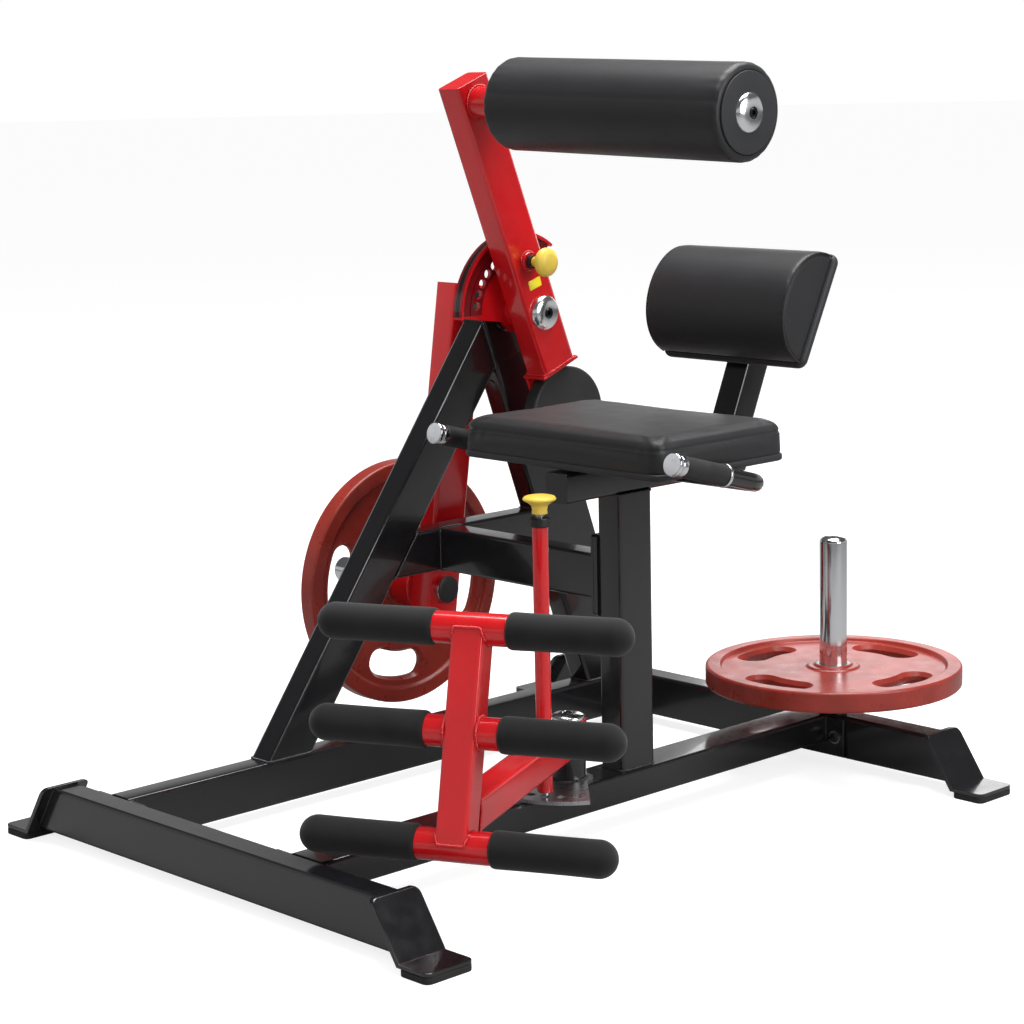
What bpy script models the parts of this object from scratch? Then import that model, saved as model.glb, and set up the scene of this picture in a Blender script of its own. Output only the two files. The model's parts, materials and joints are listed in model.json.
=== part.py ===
"""Ab and back machine, plate loaded, as an assembly of its real pieces.

Run it with: blender --background --python part.py, or from Blender's text editor.
Lengths are metres. Z is up, -Y is the front, +X is the side of the seat, -X the side of the weights.
Sizes are measured from the middle of the base, and the finished machine stands centred on the origin.
"""

from math import acos, cos, pi, radians, sin, tan

import bmesh
import bpy
from mathutils import Matrix, Vector

# Clearances and roundness
SEAM = 0.0003  # gap between two pieces that touch
RUNNING = 0.0005  # gap round a piece that turns or slides
EMBED = 0.002  # depth that welded shapes share
FINE = 48  # sides of a weight plate
ROUND = 28  # sides of a large round piece
SMALL = 20  # sides of a small round piece
QUARTER_CIRCLE = 0.5  # profile of a bevel that gives a round corner

# Main tube of the frame
TUBE_WIDTH = 0.050
TUBE_DEPTH = 0.076
TUBE_CORNER = 0.006
PLATE = 0.006  # thickness of bent, flange and gusset plates
BOLT_RADIUS = 0.009  # across the corners of a hexagon head
BOLT_HEIGHT = 0.006

# Base
FRONT_BAR_Y = -0.7392
BASE_LENGTH = 1.2004  # from one crossbar's centre to the other's
BASE_BOTTOM = 0.0177  # underside of the crossbars above the floor
FRONT_BAR_HALF = 0.404  # half length along the top
REAR_BAR_HALF = 0.445
END_SLOPE = radians(34.0)  # slant of the crossbar ends from vertical
FOOT_WIDTH = 0.0885
FOOT_REACH = 0.118  # from the bar's top corner out to the foot's edge
FOOT_RISE = 0.004  # foot plate above the bar's top
FOOT_CORNER = 0.010
PAD_HEIGHT = 0.0105
PAD_LENGTH = 0.061
FAR_RAIL_X = -0.289
NEAR_RAIL_X = 0.183
FLANGE_EAR = 0.038  # flange beyond each side of a rail
FLANGE_INSET = 0.004  # flange edge inside the crossbar's top and bottom

# A-frame on the far rail
SHAFT_Y = 0.136
SHAFT_HEIGHT = 0.804
FRONT_LEG_LEAN = radians(36.2)
REAR_LEG_LEAN = radians(19.7)
REAR_LEG_DEPTH = 0.120
REAR_LEG_RISE = 0.010  # rear leg above the shaft's centre
HOUSING_RADIUS = 0.038
HOUSING_OVERHANG_FAR = 0.013  # housing beyond the legs' far side
HOUSING_OVERHANG_NEAR = 0.008
TIE_Z = 0.398  # centre of the tie and of the cross beam
PLUG_RADIUS = 0.011  # sight plug in the rear leg
PLUG_DROP = 0.122  # from the shaft down to the plug, along the leg

# Cross beam and seat post
CROSS_BEAM_Y = -0.010
CROSS_BEAM_END = 0.148
JOINT_WIDTH = 0.122  # bolted joint plates between beam and post
JOINT_HEIGHT = 0.135
JOINT_RISE = 0.0145  # joint plates' centre above the beam's centre
JOINT_BOLT_INSET = 0.016
SEAT_POST_Y = -0.036
SEAT_POST_TOP = 0.550

# Seat
SEAT_BEAM_HEIGHT = 0.048
SEAT_BEAM_FRONT = -0.188
SEAT_BEAM_REAR = 0.236
SEAT_PLATE = 0.005
SEAT_PLATE_WIDTH = 0.220
SEAT_PLATE_LENGTH = 0.200
SEAT_WIDTH = 0.436
SEAT_LENGTH = 0.297
SEAT_Y = -0.0335  # middle of the seat pad
SEAT_HEIGHT = 0.069
SEAT_CROWN = 0.006
SEAT_CORNER = 0.038
SEAT_BOARD = 0.0105  # height of the bottom board
SEAT_BOARD_EDGE = 0.0015
SEAT_LIP = 0.004  # bottom board beyond the drawn-in sides
SEAT_ROLL = 0.012  # how far the rolled edge comes in at the top
SEAT_SHOULDER = 0.004  # top of the rolled edge below the crown's foot
SEAT_BULGE = (0.36, 0.98)  # start and end of the side's curve, in half turns
SEAT_SIDE_STEPS = 8
SEAT_TOP_STEPS = 7
SEAT_TOP_SPACING = 1.4  # above 1, the rings of the top lie closer to its edge
SEAT_TOP_FULLNESS = 0.42  # below 1, the top rises sooner from its edge

# Handles
HANDLE_SPREAD = 0.265  # from the seat's middle to each handle
HANDLE_Y = 0.010  # where the tube leaves the bend
HANDLE_Z = 0.581
HANDLE_SLOPE = radians(15.3)
HANDLE_RADIUS = 0.0140
HANDLE_BEND = 0.045
GRIP_START = 0.100  # distances along the handle from its bend
GRIP_LENGTH = 0.102
GRIP_RADIUS = 0.0170
NECK_RADIUS = 0.0166  # sleeve of the end cap
NECK_LENGTH = 0.016
HANDLE_CAP_LENGTH = 0.011
HANDLE_CAP_RADIUS = 0.0208

# Backrest
BACK_LEAN = radians(23.8)
BACK_POST_DEPTH = 0.052
BACK_POST_Y = 0.212  # post's centre at the seat beam
BACK_POST_LENGTH = 0.292
BOARD_ON_POST = 0.2345  # board's centre up the post
BOARD_STANDOFF = 0.0056  # from the post to the board
BOARD_WIDTH = 0.308
BOARD_HEIGHT = 0.189
BOARD_THICKNESS = 0.016
BOARD_CORNER = 0.015
BRACKET_WIDTH = 0.110
BRACKET_HEIGHT = 0.130
BACK_PAD_WIDTH = 0.300
BACK_PAD_HEIGHT = 0.184
BACK_PAD_DEPTH = 0.083
BACK_PAD_FULLNESS = 0.92  # below 1, the round front is fuller than half an ellipse
BACK_PAD_STEPS = 18
BACK_PAD_END = ((0.0, 0.93), (0.003, 0.985), (0.010, 1.0))  # depth from the end, section's share

# Storage horn and weight plates
STORAGE_X = 0.211
HORN_RADIUS = 0.0240
COLLAR_RADIUS = 0.0245
COLLAR_DISC_RADIUS = 0.045
COLLAR_DISC = 0.006
STORAGE_HORN_TOP = 0.409
STORED_PLATE_BOTTOM = 0.1446
DISC_RADIUS = 0.225
DISC_THICKNESS = 0.036
DISC_RIM = 0.026  # width of the raised rim
DISC_EDGE = 0.007  # rounding of the rim's outer edges
DISC_WEB = 0.025  # thickness between rim and hub
DISC_HUB_RADIUS = 0.062
DISC_BORE = 0.0253
SLOT_RADIUS = 0.156  # centre line of the grip slots
SLOT_WIDTH = 0.044
SLOT_ANGLE = radians(27.0)  # between the centres of a slot's round ends
SLOTS = 4
SLOT_TURN = radians(1.3)  # first slot from the plate's own level

# Swing: shaft, weight arm and quadrant, seen from the far side to the near side
SHAFT_RADIUS = 0.0175
WEIGHT_ARM_X = -0.387
WEIGHT_ARM_LEAN = radians(8.65)  # bottom end to the front
WEIGHT_ARM_TOP = 0.040
HORN_DROP = 0.5105  # from the shaft down to the horn
WEIGHT_ARM_FOOT = 0.050  # arm below the horn
HORN_END = -0.650
HORN_HEAD = 0.010  # head on the arm's near side
STOP_RADIUS = 0.045
STOP_THICKNESS = 0.0495
QUADRANT_X = -0.240
QUADRANT_RADIUS = 0.139
RIM_WIDTH = 0.022
RIM_THICKNESS = 0.005
QUADRANT_FRONT = radians(71.0)  # edge of the sector from the roller arm, at rest
QUADRANT_REAR = radians(58.0)
QUADRANT_HUB = 0.030
WEB_ROOT = 0.058  # half width of the web beside the hub
WEB_BACK = 0.7  # the web's reach behind the hub, as a share of that
WEB_FLARE = 0.35  # share of the turn that the web's straight sides take
HOLE_CIRCLE = 0.0985
HOLE_RADIUS = 0.00625
HOLE_PITCH = radians(12.0)
HOLES_BEHIND = 2  # holes behind the one in use
HOLES_AHEAD = 5

# Roller arm
ROLLER_ARM_X = -0.194
ROLLER_ARM_LEAN = radians(21.2)  # top end to the front
ROLLER_ARM_TOP = 0.431
ROLLER_ARM_FOOT = 0.105
FOOT_PLATE_EDGE = 0.007  # end plate beyond the tube
FOOT_PLATE = 0.005
HUB_CAP_RADIUS = 0.032
HUB_CAP = 0.012
PIN_RADIUS = 0.0050
PIN_TRAVEL = 0.005
PIN_CLEAR = 0.0006  # drawn back, the tip stands this far off the quadrant
PIN_POINT = 0.0015
BOSS_RADIUS = 0.0170
BOSS_LENGTH = 0.016
KNOB_RADIUS = 0.0255
KNOB_LENGTH = 0.036
COUNTERWEIGHT_RADIUS = 0.0875
COUNTERWEIGHT_WIDTH = 0.028
COUNTERWEIGHT_GAP = 0.0060  # disc below the arm's end plate
BRACKET_PLATE = 0.005
COUNTER_BRACKET_WIDTH = 0.060
ROLLER_UP_ARM = 0.392  # roller's axis from the shaft
AXLE_DROOP = radians(1.8)  # the loaded end hangs a little, as photographed
AXLE_RADIUS = 0.0125
AXLE_SLEEVE_RADIUS = 0.028
ROLLER_RADIUS = 0.0765
ROLLER_START = -0.082
ROLLER_END = 0.420
ROLLER_EDGE = 0.014
ROLLER_CAP_RADIUS = 0.033
ROLLER_CAP = 0.010

# Foot support
PIVOT_Y = -0.171
FOOT_SWIVEL = radians(25.83)  # swung towards the near side
PIVOT_RADIUS = 0.028
SPINDLE_RADIUS = 0.0125
ARM_TUBE = 0.050
FOOT_ARM_RISE = 0.099  # top of the arm above the base
SLEEVE_RADIUS = 0.030
SLEEVE_DROP = 0.005  # sleeve below and above the arm
PIVOT_CAP_RADIUS = 0.0275
PIVOT_CAP = 0.010
INDEX_PLATE = 0.006
INDEX_RADIUS = 0.140
INDEX_SPREAD = radians(66.0)
INDEX_MARGIN = 0.012  # plate beyond the post at the rear
INDEX_SHOULDER = 0.6  # share of the turn that the straight sides take
LOCK_REACH = 0.1122  # lock rod from the pivot
LOCK_PITCH = radians(13.0)
LOCK_HOLES_EACH_WAY = 2
LOCK_HOLE_RADIUS = 0.0078
LOCK_ROD_RADIUS = 0.0066
LOCK_ROD_POINT = 0.002
LOCK_TRAVEL = 0.005
LOCK_CLEAR = 0.0006  # lifted, the rod stands this far off the index plate
GUIDE_RADIUS = 0.0125
GUIDE_BORE = 0.0076
GUIDE_RISE = 0.008  # guide above the index plate
GUIDE_LENGTH = 0.422
GUIDE_COLLAR_RADIUS = 0.0165
GUIDE_COLLAR = 0.014
LOCK_KNOB_RADIUS = 0.0265
LOCK_KNOB_HEIGHT = 0.030
FOOT_BAR_HEIGHTS = {"top": 0.4319, "middle": 0.2887, "bottom": 0.1323}
FOOT_POST_REACH = 0.4398  # from the pivot to the post at FOOT_POST_Z
FOOT_POST_Z = 0.300
FOOT_POST_SPREAD = 0.2901  # reach gained for each metre lower
FOOT_BAR_RADIUS = 0.024
FOOT_BAR_HALF = 0.057
FOAM_RADIUS = 0.0278
FOAM_END = 0.2441
FOAM_ROD_END = 0.225

# Worked out from the sizes above
REAR_BAR_Y = FRONT_BAR_Y + BASE_LENGTH
BASE_TOP = BASE_BOTTOM + TUBE_DEPTH
BASE_Z = BASE_BOTTOM + TUBE_DEPTH / 2
FRAME_SIDE = TUBE_WIDTH / 2  # half the width of the A-frame's tubes
SEAT_BEAM_TOP = SEAT_POST_TOP + SEAT_BEAM_HEIGHT
SEAT_BOTTOM = SEAT_BEAM_TOP + SEAT_PLATE + SEAM
JOINT_PLATE_END = CROSS_BEAM_END + PLATE
SEAT_POST_X = JOINT_PLATE_END + SEAM + PLATE + TUBE_WIDTH / 2
INDEX_TOP = BASE_TOP + SEAM + INDEX_PLATE
FOOT_ARM_TOP = BASE_TOP + FOOT_ARM_RISE
GUIDE_BOTTOM = INDEX_TOP + GUIDE_RISE
GUIDE_TOP = GUIDE_BOTTOM + GUIDE_LENGTH
LOCK_TIP_Z = INDEX_TOP + LOCK_CLEAR
SHOULDER_Z = FOOT_ARM_TOP - ARM_TUBE - SLEEVE_DROP - SEAM
SLEEVE_TOP = FOOT_ARM_TOP + SLEEVE_DROP

X = Vector((1, 0, 0))
Y = Vector((0, 1, 0))
Z = Vector((0, 0, 1))


# Scene, materials and small helpers


def clear_scene():
    """Removes everything that the open file holds."""
    for item in list(bpy.data.objects):
        bpy.data.objects.remove(item, do_unlink=True)
    for mesh in list(bpy.data.meshes):
        bpy.data.meshes.remove(mesh)


def paint(name, colour, roughness, metallic=0.0):
    """A material with one Principled shader."""
    material = bpy.data.materials.new(name)
    material.use_nodes = True
    shader = material.node_tree.nodes["Principled BSDF"]
    shader.inputs["Base Color"].default_value = (*colour, 1.0)
    shader.inputs["Roughness"].default_value = roughness
    shader.inputs["Metallic"].default_value = metallic
    material.diffuse_color = (*colour, 1.0)
    return material


def joint_empty(name, parent, location=(0, 0, 0), turn=(0, 0, 0)):
    """An empty on a joint's axis, which carries the pieces of one body."""
    empty = bpy.data.objects.new(name, None)
    bpy.context.scene.collection.objects.link(empty)
    empty.parent = parent
    empty.location = location
    empty.rotation_euler = turn
    empty.empty_display_size = 0.05
    return empty


def place(name, mesh, material, parent, location=(0, 0, 0), turn=None, smooth=False):
    """Makes an object of a bmesh, with its location and rotation under its parent."""
    bmesh.ops.recalc_face_normals(mesh, faces=mesh.faces)
    data = bpy.data.meshes.new(name)
    mesh.to_mesh(data)
    mesh.free()
    if smooth:
        data.shade_smooth()
        data.set_sharp_from_angle(angle=radians(35))
    thing = bpy.data.objects.new(name, data)
    bpy.context.scene.collection.objects.link(thing)
    if material:
        data.materials.append(material)
    thing.parent = parent
    thing.location = location
    if turn is not None:
        thing.rotation_euler = turn.to_euler()
    return thing


def helper(thing):
    """Hides a cutter or a shape that is joined to another one."""
    thing.hide_render = True
    thing.display_type = "WIRE"
    return thing


def combine(target, other, operation):
    """Adds an exact Boolean of the other object to the target."""
    modifier = target.modifiers.new(f"{operation.lower()}_{other.name}", "BOOLEAN")
    modifier.operation = operation
    modifier.solver = "EXACT"
    modifier.object = helper(other)


def fuse(target, *others):
    """Welds shapes to the target, so that they are one solid."""
    for other in others:
        combine(target, other, "UNION")


def cut(target, *others):
    """Cuts shapes out of the target."""
    for other in others:
        combine(target, other, "DIFFERENCE")


def along(direction):
    """The rotation that turns local Z to a direction, with local X kept level where it can be."""
    return direction.to_track_quat("Z", "Y").to_matrix()


def circle_gap(radius, gap, sides):
    """Radius of a bore of that many sides that leaves the gap round a round piece."""
    return (radius + gap) / cos(pi / sides)


# Outlines and the two ways to give them depth

DOMED_SHAPE = ((1.0, 0.0), (1.0, 0.4), (0.8, 1.0))  # radius and height as shares, foot to top
HEAD_SHAPE = ((1.0, 0.1), (1.0, 0.75), (0.86, 1.0))
PULL_KNOB_SHAPE = ((0.55, 0.0), (0.55, 0.42), (0.92, 0.52), (1.0, 0.68), (0.9, 0.86), (0.6, 0.97))
LOCK_KNOB_SHAPE = ((0.45, 0.0), (0.5, 0.45), (0.95, 0.66), (1.0, 0.78), (0.86, 0.93), (0.5, 1.0))


def rounded_rectangle(width, height, radius, steps=2):
    """Points of a rectangle with round corners, anticlockwise about its middle."""
    points = []
    for quarter, (side_x, side_y) in enumerate(((1, 1), (-1, 1), (-1, -1), (1, -1))):
        for step in range(steps + 1):
            angle = (quarter + step / steps) * pi / 2
            across = side_x * (width / 2 - radius) + radius * cos(angle)
            points.append((across, side_y * (height / 2 - radius) + radius * sin(angle)))
    return points


def arc(centre, radius, start, end, steps):
    """Points on an arc, both ends included."""
    angles = [start + (end - start) * step / steps for step in range(steps + 1)]
    return [(centre[0] + radius * cos(a), centre[1] + radius * sin(a)) for a in angles]


def bar_mesh(outline, start, end, across, start_cut=None, end_cut=None):
    """Extrudes an outline from start to end. A cut is the normal of the plane that ends the bar there."""
    start, end = Vector(start), Vector(end)
    axis = (end - start).normalized()
    side = (across - axis * across.dot(axis)).normalized()
    other = axis.cross(side)

    def on_plane(offset, normal):
        normal = Vector(normal or axis)
        return offset - axis * (normal.dot(offset) / normal.dot(axis))

    offsets = [side * a + other * b for a, b in outline]
    mesh = bmesh.new()
    face = mesh.faces.new([mesh.verts.new(on_plane(offset, start_cut)) for offset in offsets])
    grown = bmesh.ops.extrude_face_region(mesh, geom=[face])["geom"]
    tops = [item for item in grown if isinstance(item, bmesh.types.BMVert)]
    for top in tops:
        flat = top.co - axis * top.co.dot(axis)
        top.co = end - start + on_plane(flat, end_cut)
    return mesh


def bar(name, material, parent, outline, start, end, across, start_cut=None, end_cut=None):
    """A straight piece of one section, with its origin at its start."""
    mesh = bar_mesh(outline, start, end, across, start_cut, end_cut)
    return place(name, mesh, material, parent, start)


def block(name, material, parent, low, high, corner=0.0, axis=Z):
    """A box between two corners, its edges along the axis rounded."""
    low, high = Vector(low), Vector(high)
    middle, size = (low + high) / 2, high - low
    across = Y if axis == X else X
    other = axis.cross(across)
    wide, deep = abs(size.dot(across)), abs(size.dot(other))
    outline = (
        rounded_rectangle(wide, deep, corner)
        if corner
        else [(wide / 2, deep / 2), (-wide / 2, deep / 2), (-wide / 2, -deep / 2), (wide / 2, -deep / 2)]
    )
    half = axis * abs(size.dot(axis)) / 2
    return bar(name, material, parent, outline, middle - half, middle + half, across)


def turned_mesh(profile, sides, closed=False):
    """Spins a profile of (radius, height) points once round Z."""
    mesh = bmesh.new()
    points = [mesh.verts.new((radius, 0, height)) for radius, height in profile]
    edges = [mesh.edges.new(pair) for pair in zip(points, points[1:])]
    if closed:
        edges.append(mesh.edges.new((points[-1], points[0])))
    bmesh.ops.spin(
        mesh, geom=points + edges, cent=(0, 0, 0), axis=Z, angle=2 * pi, steps=sides, use_merge=True
    )
    bmesh.ops.remove_doubles(mesh, verts=mesh.verts, dist=1e-6)
    return mesh


def turned(name, material, parent, profile, location, axis=Z, sides=ROUND, closed=False):
    """A turned piece, its profile's height along the axis from the location."""
    mesh = turned_mesh(profile, sides, closed)
    return place(name, mesh, material, parent, location, along(Vector(axis)), smooth=True)


def drill(name, parent, radius, length, location, axis, sides=ROUND):
    """A cutter for a bore. Its corners lie between those of a round piece that it is cut through."""
    mesh = turned_mesh(rod_profile(radius, length), sides)
    bmesh.ops.rotate(mesh, verts=mesh.verts, matrix=Matrix.Rotation(pi / sides, 3, "Z"))
    return place(name, mesh, None, parent, location, along(Vector(axis)))


def rod_profile(radius, length, edge=0.0):
    """Profile of a plain round bar, its ends chamfered by the edge."""
    if not edge:
        return [(0, 0), (radius, 0), (radius, length), (0, length)]
    low = [(0, 0), (radius - edge, 0), (radius, edge)]
    return low + [(radius, length - edge), (radius - edge, length), (0, length)]


def shaped(shape, radius, length):
    """Profile of a turned shape, given as shares of its radius and length."""
    return [(0, 0), *[(radius * wide, length * high) for wide, high in shape], (0, length)]


def ring_profile(inner, outer, length, edge=0.0):
    """Closed profile of a sleeve, its outer edges chamfered."""
    if not edge:
        return [(inner, 0), (outer, 0), (outer, length), (inner, length)]
    low = [(inner, 0), (outer - edge, 0), (outer, edge)]
    return low + [(outer, length - edge), (outer - edge, length), (inner, length)]


def hexagon_heads(name, parent, places, axis, height=BOLT_HEIGHT):
    """Bolt heads at the places, sunk a little into the plate that they are fused to."""
    heads = []
    profile = rod_profile(BOLT_RADIUS, height + EMBED)
    for number, spot in enumerate(places):
        spot = Vector(spot) - Vector(axis) * EMBED
        heads.append(turned(f"{name}_{number}", None, parent, profile, spot, axis, sides=6))
    return heads


def drills(name, parent, spots, axis, radius, depth, sides=12):
    """One cutter that holds a round drill, centred on each of the spots."""
    mesh = bmesh.new()
    for spot in spots:
        there = Matrix.Translation(spot) @ along(axis).to_4x4()
        bmesh.ops.create_cone(
            mesh, cap_ends=True, segments=sides, radius1=radius, radius2=radius, depth=depth, matrix=there
        )
    return place(name, mesh, None, parent)


# Base


def foot_plate(name, material, parent, bar_y, bar_half, side):
    """Bent plate on a slanted crossbar end: down the slant, then out over the floor pad."""
    flange_bottom = PAD_HEIGHT + SEAM
    flange_top = flange_bottom + PLATE
    top = BASE_TOP + FOOT_RISE
    edge = bar_half + FOOT_REACH

    def slant(height, out):
        return bar_half + (BASE_TOP - height) * tan(END_SLOPE) + out

    thick = PLATE / cos(END_SLOPE)
    outline = [
        (slant(top, -EMBED), top),
        (slant(flange_bottom, -EMBED), flange_bottom),
        (edge, flange_bottom),
        (edge, flange_top),
        (slant(flange_top, thick), flange_top),
        (slant(top, thick), top),
    ]
    mesh = bmesh.new()
    low = bar_y - FOOT_WIDTH / 2
    face = mesh.faces.new([mesh.verts.new((side * x, low, z)) for x, z in outline])
    grown = bmesh.ops.extrude_face_region(mesh, geom=[face])["geom"]
    moved = [item for item in grown if isinstance(item, bmesh.types.BMVert)]
    bmesh.ops.translate(mesh, verts=moved, vec=(0, FOOT_WIDTH, 0))

    def is_corner(edge_of_plate):
        ends = [vert.co for vert in edge_of_plate.verts]
        if abs(ends[0].y - ends[1].y) > SEAM:
            return False
        at_top = all(abs(end.z - top) < SEAM for end in ends)
        return at_top or all(abs(abs(end.x) - edge) < SEAM for end in ends)

    corners = [item for item in mesh.edges if is_corner(item)]
    bmesh.ops.bevel(mesh, geom=corners, offset=FOOT_CORNER, segments=3, profile=QUARTER_CIRCLE, affect="EDGES")
    return place(name, mesh, material, parent)


def floor_pad(name, material, parent, bar_y, bar_half, side):
    """Rubber pad under the flange of a foot plate."""
    middle = side * (bar_half + FOOT_REACH - PAD_LENGTH / 2)
    outline = rounded_rectangle(PAD_LENGTH, FOOT_WIDTH, FOOT_CORNER, steps=3)
    return bar(name, material, parent, outline, (middle, bar_y, 0), (middle, bar_y, PAD_HEIGHT), X)


def crossbar(name, material, parent, bar_y, bar_half):
    """Crossbar with slanted ends and a foot plate welded to each."""
    middle = bar_half + TUBE_DEPTH / 2 * tan(END_SLOPE)
    slant = Vector((cos(END_SLOPE), 0, sin(END_SLOPE)))
    slant_left = Vector((cos(END_SLOPE), 0, -sin(END_SLOPE)))
    outline = rounded_rectangle(TUBE_WIDTH, TUBE_DEPTH, TUBE_CORNER)
    ends = (-middle, bar_y, BASE_Z), (middle, bar_y, BASE_Z)
    beam = bar(name, material, parent, outline, *ends, Y, slant_left, slant)
    for side, word in ((-1, "left"), (1, "right")):
        fuse(beam, foot_plate(f"{name}_{word}_foot", None, parent, bar_y, bar_half, side))
    return beam


def rail(name, material, parent, x, width, depth):
    """Rail between the crossbars, with a bolted flange at each end."""
    front = FRONT_BAR_Y + TUBE_WIDTH / 2 + SEAM
    rear = REAR_BAR_Y - TUBE_WIDTH / 2 - SEAM
    middle_z = BASE_TOP - depth / 2
    outline = rounded_rectangle(width, depth, TUBE_CORNER)
    tube = bar(name, material, parent, outline, (x, front, middle_z), (x, rear, middle_z), X)
    half = width / 2 + FLANGE_EAR
    low_z, high_z = BASE_BOTTOM + FLANGE_INSET, BASE_TOP - FLANGE_INSET
    for word, y, inward in (("front", front, 1), ("rear", rear, -1)):
        other_y = y + inward * PLATE
        corners = (x - half, min(y, other_y), low_z), (x + half, max(y, other_y), high_z)
        flange = block(f"{name}_{word}_flange", None, parent, *corners)
        reach = width / 2 + FLANGE_EAR / 2
        spots = [(x + side * reach, other_y, BASE_Z) for side in (-1, 1)]
        fuse(tube, flange, *hexagon_heads(f"{name}_{word}_bolt", parent, spots, Y * inward))
    return tube


def build_base(parent, looks):
    """Crossbars with their feet, floor pads, rails and the storage horn."""
    front = crossbar("front_crossbar", looks["black"], parent, FRONT_BAR_Y, FRONT_BAR_HALF)
    rear = crossbar("rear_crossbar", looks["black"], parent, REAR_BAR_Y, REAR_BAR_HALF)
    for word, bar_y, half in (("front", FRONT_BAR_Y, FRONT_BAR_HALF), ("rear", REAR_BAR_Y, REAR_BAR_HALF)):
        for side, hand in ((-1, "left"), (1, "right")):
            floor_pad(f"{word}_{hand}_floor_pad", looks["rubber"], parent, bar_y, half, side)
    rail("far_rail", looks["black"], parent, FAR_RAIL_X, TUBE_WIDTH, TUBE_DEPTH)
    rail("near_rail", looks["black"], parent, NEAR_RAIL_X, TUBE_DEPTH, TUBE_WIDTH)

    stand = STORED_PLATE_BOTTOM - SEAM
    disc_bottom = stand - COLLAR_DISC
    profile = [(0, 0), (COLLAR_RADIUS, 0), (COLLAR_RADIUS, disc_bottom - BASE_TOP + EMBED)]
    profile += [(COLLAR_DISC_RADIUS, disc_bottom - BASE_TOP + EMBED)]
    profile += [(COLLAR_DISC_RADIUS, stand - BASE_TOP + EMBED), (0, stand - BASE_TOP + EMBED)]
    foot = (STORAGE_X, REAR_BAR_Y, BASE_TOP - EMBED)
    fuse(rear, turned("storage_collar", None, parent, profile, foot, sides=SMALL))
    start = (STORAGE_X, REAR_BAR_Y, STORED_PLATE_BOTTOM)
    horn = horn_profile(STORAGE_HORN_TOP - STORED_PLATE_BOTTOM)
    turned("storage_horn", looks["chrome"], parent, horn, start)
    return front, rear


def horn_profile(length):
    """Plain round bar with a domed end."""
    dome = HORN_RADIUS / 3
    steps = 4
    curve = [
        (HORN_RADIUS * cos(step / steps * pi / 2), length - dome + dome * sin(step / steps * pi / 2))
        for step in range(steps)
    ]
    return [(0, 0), (HORN_RADIUS, 0), *curve, (0, length)]


# A-frame, cross beam and seat post


def leg_line(direction, height):
    """Point at that height on the line through the shaft."""
    drop = (SHAFT_HEIGHT - height) / direction.z
    return Vector((FAR_RAIL_X, SHAFT_Y, SHAFT_HEIGHT)) - direction * drop


def build_a_frame(parent, looks):
    """Both legs, the tie between them and the bearing housing at the apex."""
    shaft = Vector((FAR_RAIL_X, SHAFT_Y, SHAFT_HEIGHT))
    front_up = Vector((0, sin(FRONT_LEG_LEAN), cos(FRONT_LEG_LEAN)))
    rear_up = Vector((0, -sin(REAR_LEG_LEAN), cos(REAR_LEG_LEAN)))
    front_normal = Vector((0, cos(FRONT_LEG_LEAN), -sin(FRONT_LEG_LEAN)))
    rear_normal = Vector((0, cos(REAR_LEG_LEAN), sin(REAR_LEG_LEAN)))
    foot = BASE_TOP + SEAM

    reach = (REAR_LEG_DEPTH / 2 + SEAM) / rear_normal.dot(front_up)
    outline = rounded_rectangle(TUBE_WIDTH, TUBE_DEPTH, TUBE_CORNER)
    start, end = leg_line(front_up, foot), shaft - front_up * reach
    bar("front_leg", looks["black"], parent, outline, start, end, X, Z, rear_normal)

    outline = rounded_rectangle(TUBE_WIDTH, REAR_LEG_DEPTH, TUBE_CORNER)
    start, end = leg_line(rear_up, foot), shaft + rear_up * REAR_LEG_RISE
    rear_leg = bar("rear_leg", looks["black"], parent, outline, start, end, X, Z)
    saddle = circle_gap(HOUSING_RADIUS, SEAM, ROUND)
    left = shaft - X * TUBE_WIDTH
    profile = rod_profile(saddle, 2 * TUBE_WIDTH)
    cut(rear_leg, turned("saddle_cutter", None, parent, profile, left, X))
    plug = shaft - rear_up * PLUG_DROP - rear_normal * (REAR_LEG_DEPTH / 2 - EMBED)
    profile = rod_profile(PLUG_RADIUS, 2 * EMBED, EMBED / 2)
    fuse(rear_leg, turned("leg_plug", None, parent, profile, plug, -rear_normal, sides=SMALL))

    start_x = FAR_RAIL_X - FRAME_SIDE - HOUSING_OVERHANG_FAR
    length = TUBE_WIDTH + HOUSING_OVERHANG_FAR + HOUSING_OVERHANG_NEAR
    bore = circle_gap(SHAFT_RADIUS, RUNNING, ROUND)
    profile = ring_profile(bore, HOUSING_RADIUS, length, 0.002)
    start = (start_x, SHAFT_Y, SHAFT_HEIGHT)
    turned("bearing_housing", looks["black"], parent, profile, start, X, closed=True)

    front_face = front_normal * (TUBE_DEPTH / 2 + SEAM)
    rear_face = -rear_normal * (REAR_LEG_DEPTH / 2 + SEAM)
    start = meet_height(shaft + front_face, front_normal, TIE_Z)
    end = meet_height(shaft + rear_face, rear_normal, TIE_Z)
    outline = rounded_rectangle(TUBE_WIDTH, TUBE_DEPTH, TUBE_CORNER)
    bar("leg_tie", looks["black"], parent, outline, start, end, X, front_normal, rear_normal)


def meet_height(point, normal, height):
    """Point of a plane through the given point, at that height and the same x."""
    y = point.y - normal.z * (height - point.z) / normal.y
    return Vector((point.x, y, height))


def joint_plate(name, parent, x, thickness):
    """Bolted joint plate between the cross beam and the seat post."""
    middle_y = (CROSS_BEAM_Y + SEAT_POST_Y) / 2 + PLATE
    low = (x, middle_y - JOINT_WIDTH / 2, TIE_Z + JOINT_RISE - JOINT_HEIGHT / 2)
    high = (x + thickness, middle_y + JOINT_WIDTH / 2, TIE_Z + JOINT_RISE + JOINT_HEIGHT / 2)
    return block(name, None, parent, low, high, TUBE_CORNER, X), middle_y


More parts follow.
